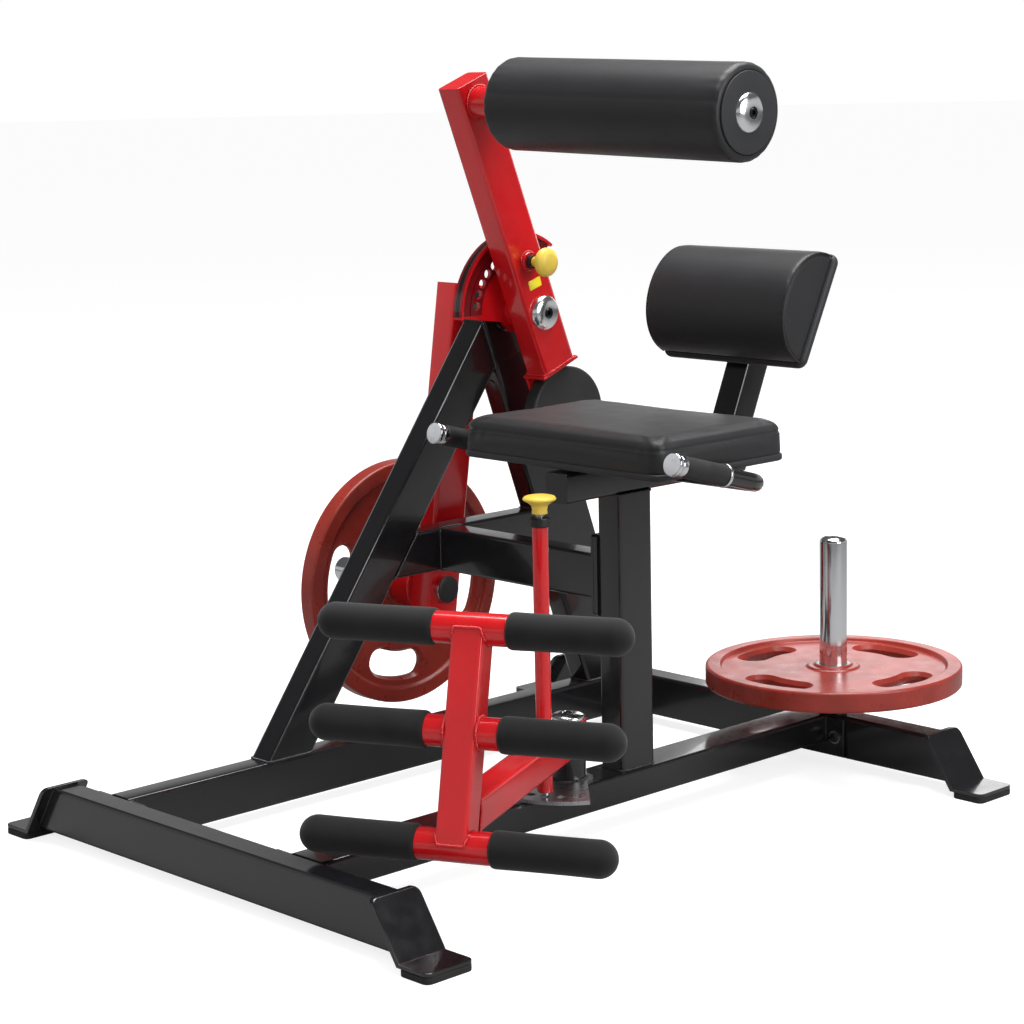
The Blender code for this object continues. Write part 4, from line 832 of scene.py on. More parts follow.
def bead_tree() -> Tree:
    """Weld bead: overlapping flattened drops, each a little different, in a row along a line.

    Returns:
        The tree.
    """
    inputs = [
        ("Spacing", "NodeSocketFloat", 0.0022),
        ("Bead Radius", "NodeSocketFloat", 0.0026),
        ("Seed", "NodeSocketInt", 5),
    ]
    tree = Tree("weld_bead", inputs)
    row = tree.steps_along("Spacing")
    sizes = {"Segments": 8, "Rings": 6, "Radius": tree.given("Bead Radius")}
    drop = tree.add("GeometryNodeMeshUVSphere", sizes)
    scales = {"Min": (0.62, 0.82, 0.82), "Max": (0.80, 1.10, 1.10), "Seed": tree.given("Seed")}
    size = tree.add("FunctionNodeRandomValue", scales, data_type="FLOAT_VECTOR")
    tree.finish({**row, "Instance": drop.outputs["Mesh"], "Scale": size.outputs[0]})
    return tree


def stitch_tree() -> Tree:
    """Row of stitches: short rounded threads along a line, with a gap between them.

    Returns:
        The tree.
    """
    inputs = [
        ("Pitch", "NodeSocketFloat", 0.0052),
        ("Thread Radius", "NodeSocketFloat", 0.00045),
        ("Stitch Length", "NodeSocketFloat", 0.0036),
    ]
    tree = Tree("stitches", inputs)
    row = tree.steps_along("Pitch")
    sizes = {"Vertices": 6, "Radius": tree.given("Thread Radius"), "Depth": tree.given("Stitch Length")}
    thread = tree.add("GeometryNodeMeshCylinder", sizes).outputs["Mesh"]
    lie = tree.add("GeometryNodeTransform", {"Geometry": thread, "Rotation": (0.0, radians(90), 0.0)})
    tree.finish({**row, "Instance": lie.outputs["Geometry"]})
    return tree


def washer_tree() -> Tree:
    """Flat washer at each point, turned to the point's stored axis.

    Returns:
        The tree.
    """
    inputs = [("Washer Radius", "NodeSocketFloat", 0.0118), ("Thickness", "NodeSocketFloat", 0.0016)]
    tree = Tree("washers", inputs)
    axis = tree.add("GeometryNodeInputNamedAttribute", {"Name": "axis"}, data_type="FLOAT_VECTOR")
    turn = tree.add("FunctionNodeAlignRotationToVector", {"Vector": axis.outputs["Attribute"]}, axis="Z")
    points = tree.add("GeometryNodeMeshToPoints", {"Mesh": tree.given("Line")}).outputs["Points"]
    sizes = {"Vertices": 32, "Radius": tree.given("Washer Radius"), "Depth": tree.given("Thickness")}
    disc = tree.add("GeometryNodeMeshCylinder", sizes).outputs["Mesh"]
    tree.finish({"Points": points, "Instance": disc, "Rotation": turn.outputs["Rotation"]})
    return tree


def line_object(name: str, path: Sequence[Vector], closed: bool) -> bpy.types.Object:
    """Makes a mesh of bare edges along a path.

    Args:
        name: Name of the object.
        path: The path's points.
        closed: True if the last point joins the first.

    Returns:
        The object.
    """
    mesh = bmesh.new()
    points = [mesh.verts.new(spot) for spot in path]
    for pair in zip(points, points[1:]):
        mesh.edges.new(pair)
    if closed:
        mesh.edges.new((points[-1], points[0]))
    return object_of(name, mesh)


def points_object(name: str, spots: Sequence[Vector], axis: Vector) -> bpy.types.Object:
    """Makes a mesh of bare points that all carry one axis.

    Args:
        name: Name of the object.
        spots: The points.
        axis: The axis.

    Returns:
        The object.
    """
    mesh = bmesh.new()
    layer = mesh.verts.layers.float_vector.new("axis")
    for spot in spots:
        mesh.verts.new(spot)[layer] = axis
    return object_of(name, mesh)


# Upholstery


@dataclass(frozen=True)
class Inflation:
    """How far a cushion is blown up by the cloth simulation."""

    limit: float
    voxel: float = 0.0048
    pressure: float = 3.0
    tension: float = 25.0
    bending: float = 12.0
    frames: int = 16

    def blow(self, thing: bpy.types.Object, held: Callable[[Vector], float]) -> None:
        """Fills the closed form with air, keeps the held points still and applies the result.

        Args:
            thing: The closed start form.
            held: Hold of a point, from 0 for free to 1 for fixed.
        """
        modifier(thing, "REMESH", mode="VOXEL", voxel_size=self.voxel, use_smooth_shade=True)
        settled(thing)
        rest = [vert.co.copy() for vert in thing.data.vertices]
        group = thing.vertex_groups.new(name="held")
        for index, spot in enumerate(rest):
            group.add([index], held(spot), "REPLACE")
        cloth = thing.modifiers.new("cloth", "CLOTH")
        cloth.settings.use_pressure = True
        cloth.settings.uniform_pressure_force = self.pressure
        cloth.settings.vertex_group_mass = "held"
        cloth.settings.effector_weights.gravity = 0.0
        cloth.settings.tension_stiffness = self.tension
        cloth.settings.bending_stiffness = self.bending
        cloth.collision_settings.use_collision = False
        scene = bpy.context.scene
        for number in range(1, self.frames + 1):
            scene.frame_set(number)
        graph = bpy.context.evaluated_depsgraph_get()
        blown = [vert.co.copy() for vert in thing.evaluated_get(graph).data.vertices]
        thing.modifiers.clear()
        thing.vertex_groups.clear()
        scene.frame_set(1)
        for vert, start, end in zip(thing.data.vertices, rest, blown):
            move = end - start
            vert.co = start + move * min(1.0, self.limit / max(move.length, 1e-9))


def upholstered(
    name: str,
    rings: Sequence[Sequence[Vector]],
    limit: float,
    held: Callable[[Vector], float],
    seam: Callable[[Vector], Vector],
) -> bpy.types.Object:
    """Makes a cushion: its form is blown up, refined and drawn in at its seam.

    Args:
        name: Name of the cushion.
        rings: Rings of its start form.
        limit: How far the air may move a point.
        held: Hold of a point while it is blown up.
        seam: Move of a point at the seam.

    Returns:
        The cushion.
    """
    cushion = object_of(name, stacked(rings))
    Inflation(limit).blow(cushion, held)
    modifier(cushion, "SUBSURF", levels=1, render_levels=1)
    settled(cushion)
    carve(cushion, seam)
    return cushion


def carve(thing: bpy.types.Object, depth_at: Callable[[Vector], Vector]) -> None:
    """Moves each point of a mesh by what the function gives for it."""
    for vert in thing.data.vertices:
        vert.co += depth_at(vert.co)


def laid_on(surface: bpy.types.Object, path: Sequence[Vector], proud: float = 0.0002) -> list[Vector]:
    """Moves the points of a path onto a piece's surface.

    Args:
        surface: The piece, whose mesh is in its place.
        path: The points.
        proud: How far they stand off the surface.

    Returns:
        The moved points.
    """
    moved = []
    for spot in path:
        _, place, normal, _ = surface.closest_point_on_mesh(spot)
        moved.append(place + normal * proud)
    return moved


def groove(distance: float, width: float) -> float:
    """Share of a seam's depth at that distance from its line."""
    return max(0.0, 1.0 - (distance / width) ** 2) ** 2


# Sub-assemblies


@dataclass
class SubAssembly:
    """One part of the machine. Its pieces ride on one CAD body."""

    body: ClassVar[str] = "frame"
    trees: ClassVar[dict[str, Tree]] = {}

    def hand_over(
        self, piece: bpy.types.Object, finish: Finish, nodes: Iterable[str] = (), body: str | None = None
    ) -> bpy.types.Object:
        """Gives a piece its finish and its body.

        Args:
            piece: The finished piece.
            finish: Its finish.
            nodes: CAD nodes that it stands for.
            body: Its body, or None for the sub-assembly's own.

        Returns:
            The piece.
        """
        piece.data.materials.clear()
        piece.data.materials.append(material_of(finish))
        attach(piece, body or self.body)
        if nodes:
            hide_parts(*nodes)
        LOG.info("%s: %s on %s", type(self).__name__, piece.name, body or self.body)
        return piece

    def add(
        self,
        name: str,
        mesh: bmesh.types.BMesh,
        finish: Finish,
        place: Matrix | None = None,
        nodes: Iterable[str] = (),
        body: str | None = None,
        sharp: float = 40.0,
    ) -> bpy.types.Object:
        """Makes a piece from its mesh, shades it and hands it over.

        Args:
            name: Name of the piece.
            mesh: Its mesh, which is used up.
            finish: Its finish.
            place: Where the mesh goes, or None if it is there already.
            nodes: CAD nodes that it stands for.
            body: Its body, or None for the sub-assembly's own.
            sharp: Angle in degrees above which an edge stays sharp.

        Returns:
            The piece.
        """
        piece = object_of(name, mesh, place)
        smooth(piece, sharp)
        return self.hand_over(piece, finish, nodes, body)

    def refine(
        self, nodes: Iterable[str], finish: Finish, soften: float = 0.0008, body: str | None = None
    ) -> None:
        """Puts a clean copy, softened by so much, in the place of each CAD node."""
        for node in nodes:
            self.hand_over(clean_copy(node, soften), finish, [node], body)

    def tree(self, make: Callable[[], Tree]) -> Tree:
        """Gives a node tree, which is made the first time that it is asked for.

        Args:
            make: The function that makes it.

        Returns:
            The tree.
        """
        if make.__name__ not in SubAssembly.trees:
            SubAssembly.trees[make.__name__] = make()
        return SubAssembly.trees[make.__name__]

    def weld(
        self, name: str, path: Sequence[Vector], finish: Finish, radius: float = 0.0024, closed: bool = True
    ) -> None:
        """Lays a weld bead along a path.

        Args:
            name: Name of the bead.
            path: The path's points.
            finish: Finish of the bead.
            radius: Radius of a drop.
            closed: True if the last point joins the first.
        """
        line = line_object(name, path, closed)
        bead = self.tree(bead_tree).run(line, finish, Bead_Radius=radius, Spacing=radius * 0.85)
        smooth(bead, 60)
        self.hand_over(bead, finish)

    def stitch(self, name: str, path: Sequence[Vector], closed: bool = True) -> None:
        """Sews a row of stitches along a path, closed if its last point joins its first."""
        row = self.tree(stitch_tree).run(line_object(name, path, closed), Finish.THREAD)
        self.hand_over(row, Finish.THREAD)

    def washer(self, name: str, spots: Sequence[Vector], axis: Vector, finish: Finish) -> None:
        """Puts a washer at each spot.

        Args:
            name: Name of the washers.
            spots: Their middles.
            axis: Direction away from the face that they lie on.
            finish: Their finish.
        """
        washers = self.tree(washer_tree).run(points_object(name, spots, axis), finish)
        smooth(washers, 40)
        self.hand_over(washers, finish)

    def seated_screw(self, word: str, node: str, place: Matrix, size: SeatedScrew) -> None:
        """Puts a domed washer and its screw in the place of a CAD node, under names that start so."""
        self.add(f"{word}_dome", size.dome(), Finish.SOFT_CHROME, place, [node])
        self.add(f"{word}_screw", size.screw(), Finish.DARK_SCREW, place)


@dataclass(frozen=True)
class SeatedScrew:
    """Domed washer with a blackened socket screw in its middle."""

    radius: float
    height: float = 0.0125
    screw_radius: float = 0.0085
    gap: float = 0.0012
    edge: float = 0.22
    steps: int = 9

    def dome(self) -> bmesh.types.BMesh:
        """Makes the washer, its middle sunk for the screw.

        Returns:
            The closed mesh, with its foot at the origin.
        """
        seat = self.screw_radius + self.gap
        outline = [(0, 0), (self.radius, 0), (self.radius, self.height * self.edge)]
        for step in range(1, self.steps + 1):
            angle = step / self.steps * pi / 2
            across = seat + (self.radius - seat) * cos(angle)
            outline.append((across, self.height * (self.edge + (1 - self.edge) * sin(angle))))
        outline += [(seat - self.gap, self.height * 0.62), (0, self.height * 0.62)]
        return lathe(outline, 72)

    def screw(self) -> bmesh.types.BMesh:
        """Makes the screw's head with its hexagon socket.

        Returns:
            The closed mesh, in the washer's place.
        """
        radius, low, high = self.screw_radius - self.gap / 2, self.height * 0.60, self.height * 1.05
        outline = [(0, low), (radius, low), (radius, high - self.gap), (radius - self.gap, high)]
        mesh = lathe([*outline, (radius * 0.62, high)], 48)
        ring = [edge for edge in mesh.edges if edge.is_boundary]
        corners = arc((0, 0), radius * 0.55, 0, 2 * pi, 6)[:-1]
        hexagon = [mesh.verts.new((*corner, high)) for corner in corners]
        rim = [mesh.edges.new((hexagon[i], hexagon[(i + 1) % 6])) for i in range(6)]
        bmesh.ops.bridge_loops(mesh, edges=ring + rim)
        floor = bmesh.ops.contextual_create(mesh, geom=rim)["faces"]
        sunk = bmesh.ops.extrude_face_region(mesh, geom=floor)["geom"]
        bmesh.ops.delete(mesh, geom=floor, context="FACES_ONLY")
        moved = [item for item in sunk if isinstance(item, bmesh.types.BMVert)]
        bmesh.ops.translate(mesh, verts=moved, vec=(0, 0, low - high + 0.001))
        return mesh


@dataclass
class Base(SubAssembly):
    """Crossbars with their feet, rails with bolted flanges, and rubber floor pads."""

    flange: float = 0.006
    ear: float = 0.038
    rail_top: float = 0.0937
    bolt_height: float = 0.0557
    rails: tuple[tuple[str, float, float], ...] = (("far_rail", 0.050, 0.076), ("near_rail", 0.076, 0.050))

    def build(self) -> None:
        """Dresses the base and adds its welds and washers."""
        self.refine(("front_crossbar", "rear_crossbar"), Finish.BLACK_COAT, 0.0010)
        self.refine(("far_rail", "near_rail"), Finish.BLACK_COAT, 0.0009)
        pads = [f"{end}_{side}_floor_pad" for end in ("front", "rear") for side in ("left", "right")]
        self.refine(pads, Finish.FLOOR_RUBBER, 0.0016)
        for rail, width, depth in self.rails:
            self.rail_ends(rail, width, depth)

    def rail_ends(self, rail: str, width: float, depth: float) -> None:
        """Welds each end flange to its rail and puts washers under its bolts.

        Args:
            rail: The rail's node.
            width: The rail's width.
            depth: The rail's depth.
        """
        low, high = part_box(rail)
        middle = (low.x + high.x) / 2
        inner = width / 2 - 0.001
        reach = (width + self.ear) / 2
        upper, lower = self.rail_top - 0.004, self.rail_top - depth + 0.002
        corners = ((-inner, upper), (-inner, lower), (inner, lower), (inner, upper))
        for word, edge, way in (("front", low.y + self.flange, 1), ("rear", high.y - self.flange, -1)):
            path = [Vector((middle + x, edge + way * 0.0008, z)) for x, z in corners]
            self.weld(f"{rail}_{word}_weld", path, Finish.BLACK_COAT, 0.0022, closed=False)
            face = edge + way * 0.0007
            spots = [Vector((middle + side * reach, face, self.bolt_height)) for side in (-1, 1)]
            self.washer(f"{rail}_{word}_washers", spots, Y * way, Finish.CHROME)


@dataclass
class AFrame(SubAssembly):
    """Legs, tie, bearing housing, cross beam, seat post and the beam under the seat."""

    leg_top: Point3 = (0, 0.94, 0.34)
    pivot_weld_radius: float = 0.0285
    pivot_weld_height: float = 0.1006

    def build(self) -> None:
        """Dresses the tubes and lays the welds where they meet."""
        tubes = ("front_leg", "rear_leg", "leg_tie", "cross_beam", "seat_post", "under_seat_beam")
        self.refine(tubes, Finish.BLACK_COAT)
        self.refine(("bearing_housing", "pivot_post"), Finish.BLACK_COAT, 0.0010)
        self.refine(("index_plate",), Finish.STEEL, 0.0006)
        ends = [(f"{node}_foot", node, -Z) for node in ("front_leg", "rear_leg", "seat_post")]
        ends += [("tie_front", "leg_tie", -Y), ("tie_rear", "leg_tie", Y), ("cross_beam", "cross_beam", -X)]
        ends += [("leg_top", "front_leg", Vector(self.leg_top)), ("post_top", "seat_post", Z)]
        for word, node, way in ends:
            self.weld(f"{word}_weld", flat_outline(node, way), Finish.BLACK_COAT)
        foot = seat_of("pivot_post", Z)
        outline = arc((foot.x, foot.y), self.pivot_weld_radius, 0, 2 * pi, 32)[:-1]
        ring = [Vector((x, y, self.pivot_weld_height)) for x, y in outline]
        self.weld("pivot_post_weld", ring, Finish.BLACK_COAT, 0.0018)


@dataclass
class Seat(SubAssembly):
    """Seat cushion over its bottom board, with a sewn seam round its side."""

    width: float = 0.440
    length: float = 0.301
    height: float = 0.069
    shift: Point = (-0.003, -0.001)
    board: float = 0.0115
    corner: float = 0.020
    lip: float = 0.0018
    crown: float = 0.005
    edge: float = 0.017
    seam_below_top: float = 0.017
    seam_depth: float = 0.0016
    seam_width: float = 0.0042
    fullness: float = 0.0022

    def build(self) -> None:
        """Makes the board, the cushion and the stitches."""
        low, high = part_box("seat_pad")
        across, deep = (low.x + high.x) / 2 + self.shift[0], (low.y + high.y) / 2 + self.shift[1]
        self.middle = Vector((across, deep, low.z))
        self.bottom_board()
        cushion = upholstered("seat_cushion", self.form(), self.fullness, self.held, self.seam)
        smooth(cushion, 80)
        self.hand_over(cushion, Finish.VINYL, ["seat_pad"])
        path = self.ring(self.height - self.crown - self.seam_below_top - 0.0040, self.lip, 12)
        self.stitch("seat_seam_stitches", laid_on(cushion, path))

    def ring(self, height: float, inset: float, steps: int = 10) -> list[Vector]:
        """Points of the seat's outline at a height.

        Args:
            height: Height over the seat's underside.
            inset: How far the outline is drawn in.
            steps: Steps of each corner.

        Returns:
            The points, in their place.
        """
        corner = max(0.006, self.corner - inset * 0.3)
        outline = round_corners(self.width - 2 * inset, self.length - 2 * inset, corner, steps)
        return [self.middle + Vector((x, y, height)) for x, y in outline]

    def bottom_board(self) -> None:
        """Makes the board under the cushion, its edges rounded."""
        levels = ((0.0, 0.003), (0.0012, 0.0008), (0.0035, 0.0), (self.board - 0.003, 0.0))
        levels += ((self.board - 0.0008, 0.0010), (self.board, 0.0035))
        mesh = stacked([self.ring(height, inset) for height, inset in levels])
        self.add("seat_board", mesh, Finish.SIDE_VINYL, sharp=60)

    def form(self) -> list[list[Vector]]:
        """The cushion before it is blown up: upright sides, a round edge and a low crown.

        Returns:
            The rings, from the board to the top's middle.
        """
        top = self.height - self.crown
        sides = [(self.board - 0.004, 0.010), (self.board - 0.0005, self.lip), (self.board + 0.004, self.lip)]
        sides += [(top - self.edge, self.lip + 0.0008)]
        for step in range(1, 8):
            angle = step / 7 * pi / 2
            inset = self.lip + 0.0008 + self.edge * (1 - cos(angle))
            sides.append((top - self.edge + self.edge * sin(angle), inset))
        depth = self.length / 2 - 0.008
        for step in range(1, 9):
            share = step / 8
            inset = self.lip + self.edge + (depth - self.lip - self.edge) * share
            sides.append((top + (self.crown - 0.003) * sin(share * pi / 2), inset))
        return [self.ring(height, inset) for height, inset in sides]

    def held(self, spot: Vector) -> float:
        """Hold of a point of the cushion: fixed where it meets the board."""
        return 1.0 if spot.z < self.middle.z + self.board + 0.004 else 0.0

    def seam(self, spot: Vector) -> Vector:
        """Draws the cushion's sides in at the seam.

        Args:
            spot: A point of the cushion.

        Returns:
            The point's move.
        """
        top = self.middle.z + self.height - self.crown
        share = groove(abs(spot.z - (top - self.seam_below_top)), self.seam_width)
        half_x, half_y = self.width / 2 - self.lip - 0.010, self.length / 2 - self.lip - 0.010
        away = spot - self.middle
        if not share or (abs(away.x) < half_x and abs(away.y) < half_y):
            return Vector()
        inward = Vector((-away.x / self.width, -away.y / self.length, 0))
        return inward.normalized() * share * self.seam_depth


@dataclass
class Handles(SubAssembly):
    """Bent handle tubes with their grips, chrome rings and end caps."""

    slope: float = radians(15.3)
    tube_radius: float = 0.0143
    grip_radius: float = 0.0170
    grip_back: float = 0.006
    ring_width: float = 0.0055
    ring_lip: float = 0.0020
    cap_radius: float = 0.0180
    sleeve_radius: float = 0.0166
    sleeve: float = 0.0115
    head: float = 0.0100
    groove_depth: float = 0.0022
    screw_radius: float = 0.0021
    socket_radius: float = 0.0012
    screw_angles: tuple[tuple[str, float], ...] = (("near", 12.0), ("low", -75.0))

    def build(self) -> None:
        """Makes both handles."""
        self.refine(("left_handle", "right_handle"), Finish.BLACK_COAT, 0.0)
        way = Vector((0, -cos(self.slope), sin(self.slope)))
        for side in ("left", "right"):
            end = self.grip(side, way)
            self.cap(side, end, way)
            self.screws(side, end, way)

    def grip(self, side: str, way: Vector) -> Vector:
        """Makes the grip of one handle and the ring behind it.

        Args:
            side: Left or right.
            way: Direction from the grip to the cap.

        Returns:
            The cap's foot.
        """
        low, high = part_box(f"{side}_grip")
        half = (high.y - low.y - 2 * self.grip_radius * sin(self.slope)) / 2 / cos(self.slope)
        start = (low + high) / 2 - way * (half - self.grip_back)
        length = 2 * half - self.grip_back
        turn = along(way)
        mesh = lathe(wall(self.tube_radius, self.grip_radius, 0.0, length), 48, True, 0.002)
        self.add(f"{side}_rubber_grip", mesh, Finish.GRIP, placed(start, turn), [f"{side}_grip"], sharp=50)
        section = wall(self.tube_radius, self.grip_radius + self.ring_lip, 0.0, self.ring_width)
        place = placed(start - way * (self.ring_width + 0.0002), turn)
        self.add(f"{side}_grip_ring", lathe(section, 48, True, 0.0015), Finish.CHROME, place, sharp=50)
        return start + way * (length + 0.0006)

    def cap(self, side: str, end: Vector, way: Vector) -> None:
        """Makes the chrome cap with its sleeve, its groove and its satin face.

        Args:
            side: Left or right.
            end: The cap's foot.
            way: Direction from the grip to the cap.
        """
        radius, sleeve, top = self.cap_radius, self.sleeve, self.sleeve + self.head
        neck = self.sleeve_radius - self.groove_depth
        outline = [(0, 0), (self.sleeve_radius, 0), (self.sleeve_radius, sleeve - 0.0012), (neck, sleeve)]
        outline += [(neck, sleeve + self.groove_depth), (radius, sleeve + 0.0030)]
        outline += [(radius, top - 0.0012), (radius - 0.0010, top), (0, top)]
        turn = along(way)
        mesh = lathe(outline, 64, soft=0.0008, steps=3)
        self.add(f"{side}_chrome_cap", mesh, Finish.CHROME, placed(end, turn), [f"{side}_handle_cap"])
        inner = radius - 0.0016
        outline = [(0, -0.0006), (inner, -0.0006), (inner, 0.0002), (inner - 0.0004, 0.0004), (0, 0.0004)]
        self.add(f"{side}_cap_face", lathe(outline, 64), Finish.SATIN_CAP, placed(end + way * top, turn))

    def screws(self, side: str, end: Vector, way: Vector) -> None:
        """Makes the set screws in the cap's sleeve.

        Args:
            side: Left or right.
            end: The cap's foot.
            way: Direction from the grip to the cap.
        """
        outline = [(0, 0), (self.screw_radius, 0), (self.screw_radius, 0.0014)]
        outline += [(self.socket_radius, 0.0014), (self.socket_radius, 0.0004), (0, 0.0004)]
        for word, angle in self.screw_angles:
            out = Matrix.Rotation(radians(angle), 4, way) @ X
            spot = end + way * self.sleeve * 0.5 + out * (self.sleeve_radius - 0.0012)
            place = placed(spot, along(out))
            self.add(f"{side}_cap_screw_{word}", lathe(outline, 16), Finish.DARK_SCREW, place)


@dataclass
class Backrest(SubAssembly):
    """Leaning post, bracket plate, wrapped board and round-fronted cushion with sewn end panels."""

    lean: float = radians(23.8)
    post_foot: Point = (0.260625, 0.598)
    width: float = 0.302
    height: float = 0.191
    depth: float = 0.083
    half_girth: float = 0.085
    bulge: float = 0.92
    roll: float = 0.0050
    fullness: float = 0.0025
    board_face: float = 0.0479
    board_size: Point3 = (0.311, 0.200, 0.0162)
    board_roll: float = 0.0055
    up_post: float = 0.2290
    aside: float = 0.006
    tilt: float = radians(3.0)
    stitch_share: float = 0.925
    groove_share: float = 0.955
    piping_share: float = 0.972
    piping_radius: float = 0.0015

    def build(self) -> None:
        """Makes the backrest's pieces."""
        foot = Vector((seat_of("under_seat_beam", Z).x, *self.post_foot))
        self.place = placed(foot, Matrix.Rotation(-self.lean, 4, "X"))
        self.refine(("back_post", "back_bracket"), Finish.BLACK_COAT, 0.0010)
        self.board()
        self.weld("back_post_weld", flat_outline("back_post", -Z), Finish.BLACK_COAT)
        pad = self.cushion()
        for side, word in HANDS:
            self.end_panel(pad, side, word)

    def to_world(self, spot: Vector) -> Vector:
        """A point on the cushion's own axes, with the board at y = 0, in the machine's frame."""
        tilted = Matrix.Rotation(-self.tilt, 3, "X") @ spot
        return self.place @ (tilted + Vector((self.aside, -self.board_face, self.up_post)))

    def board(self) -> None:
        """Board behind the cushion, wrapped in vinyl, so that its edges are round."""
        wide, tall, thick = self.board_size
        rings = []
        for step in range(9):
            angle = pi * step / 8
            inset = self.board_roll * (1 - sin(angle))
            outline = round_corners(wide - 2 * inset, tall - 2 * inset, 0.016 - inset, 8)
            deep = 0.0002 + thick / 2 * (1 - cos(angle))
            rings.append([self.to_world(Vector((x, deep, z))) for x, z in outline])
        self.add("wrapped_board", stacked(rings), Finish.SIDE_VINYL, nodes=["back_board"], sharp=60)

    def section(self, share: float, steps: int = 40) -> list[Point]:
        """Outline of the cushion's section.

        Args:
            share: Its size, as a share of the full one.
            steps: Steps from the lower edge to the upper one.

        Returns:
            The points, as depth and height.
        """
        points = []
        for step in range(steps + 1):
            angle = pi * step / steps
            deep = -self.depth * sin(angle) ** self.bulge
            points.append((deep * share, -self.height / 2 * cos(angle) * share))
        return points

    def cushion(self) -> bpy.types.Object:
        """Makes the cushion.

        Returns:
            The cushion, in its place.
        """
        half = self.width / 2
        drop = self.roll / self.half_girth
        levels = [(0.0, 1 - drop)]
        for step in range(1, 6):
            angle = step / 5 * pi / 2
            levels.append((self.roll * (1 - cos(angle)), 1 - drop * (1 - sin(angle))))
        levels += [(0.05, 1.0), (0.10, 1.0), (0.15, 1.0)]
        levels += [(self.width - deep, share) for deep, share in reversed(levels[:-1])]
        rings = [[Vector((deep - half, y, z)) for y, z in self.section(share)] for deep, share in levels]
        pad = upholstered("back_cushion", rings, self.fullness, self.held, self.seam)
        for vert in pad.data.vertices:
            vert.co = self.to_world(vert.co)
        smooth(pad, 80)
        self.hand_over(pad, Finish.VINYL, ["back_pad"])
        return pad

    def end_panel(self, pad: bpy.types.Object, side: int, word: str) -> None:
        """Sews an end panel: a row of stitches and the piping outside it.

        Args:
            pad: The cushion.
            side: 1 for the panel at +X, or -1.
            word: Left or right.
        """
        half = self.width / 2
        row = self.section(self.stitch_share, 60)[2:-2]
        path = [self.to_world(Vector((side * half, y, z))) for y, z in row]
        self.stitch(f"back_{word}_panel_stitches", laid_on(pad, path), closed=False)
        rim = self.section(self.piping_share, 60)
        path = [self.to_world(Vector((side * (half - 0.0008), min(y, -0.001), z))) for y, z in rim]
        self.hand_over(tube(f"back_{word}_piping", path, self.piping_radius, 3), Finish.THREAD)

    def fraction(self, spot: Vector) -> float:
        """How far out a point of the cushion lies in its section, as a share of the full size."""
        return sqrt((spot.y / self.depth) ** 2 + (spot.z / (self.height / 2)) ** 2)

    def held(self, spot: Vector) -> float:
        """Hold of a point of the cushion: fixed at the board and round both end panels."""
        rim = abs(spot.x) > self.width / 2 - 0.012 and self.fraction(spot) > 0.86
        return 1.0 if spot.y > -0.006 or rim else 0.0

    def seam(self, spot: Vector) -> Vector:
        """Cuts a groove round each end panel.

        Args:
            spot: A point of the cushion, on its own axes.

        Returns:
            The point's move.
        """
        if self.width / 2 - abs(spot.x) > self.roll:
            return Vector()
        side = 1 if spot.x > 0 else -1
        away = abs(self.fraction(spot) - self.groove_share) * self.half_girth
        return Vector((-side * groove(away, 0.0030) * 0.0012, 0, 0))


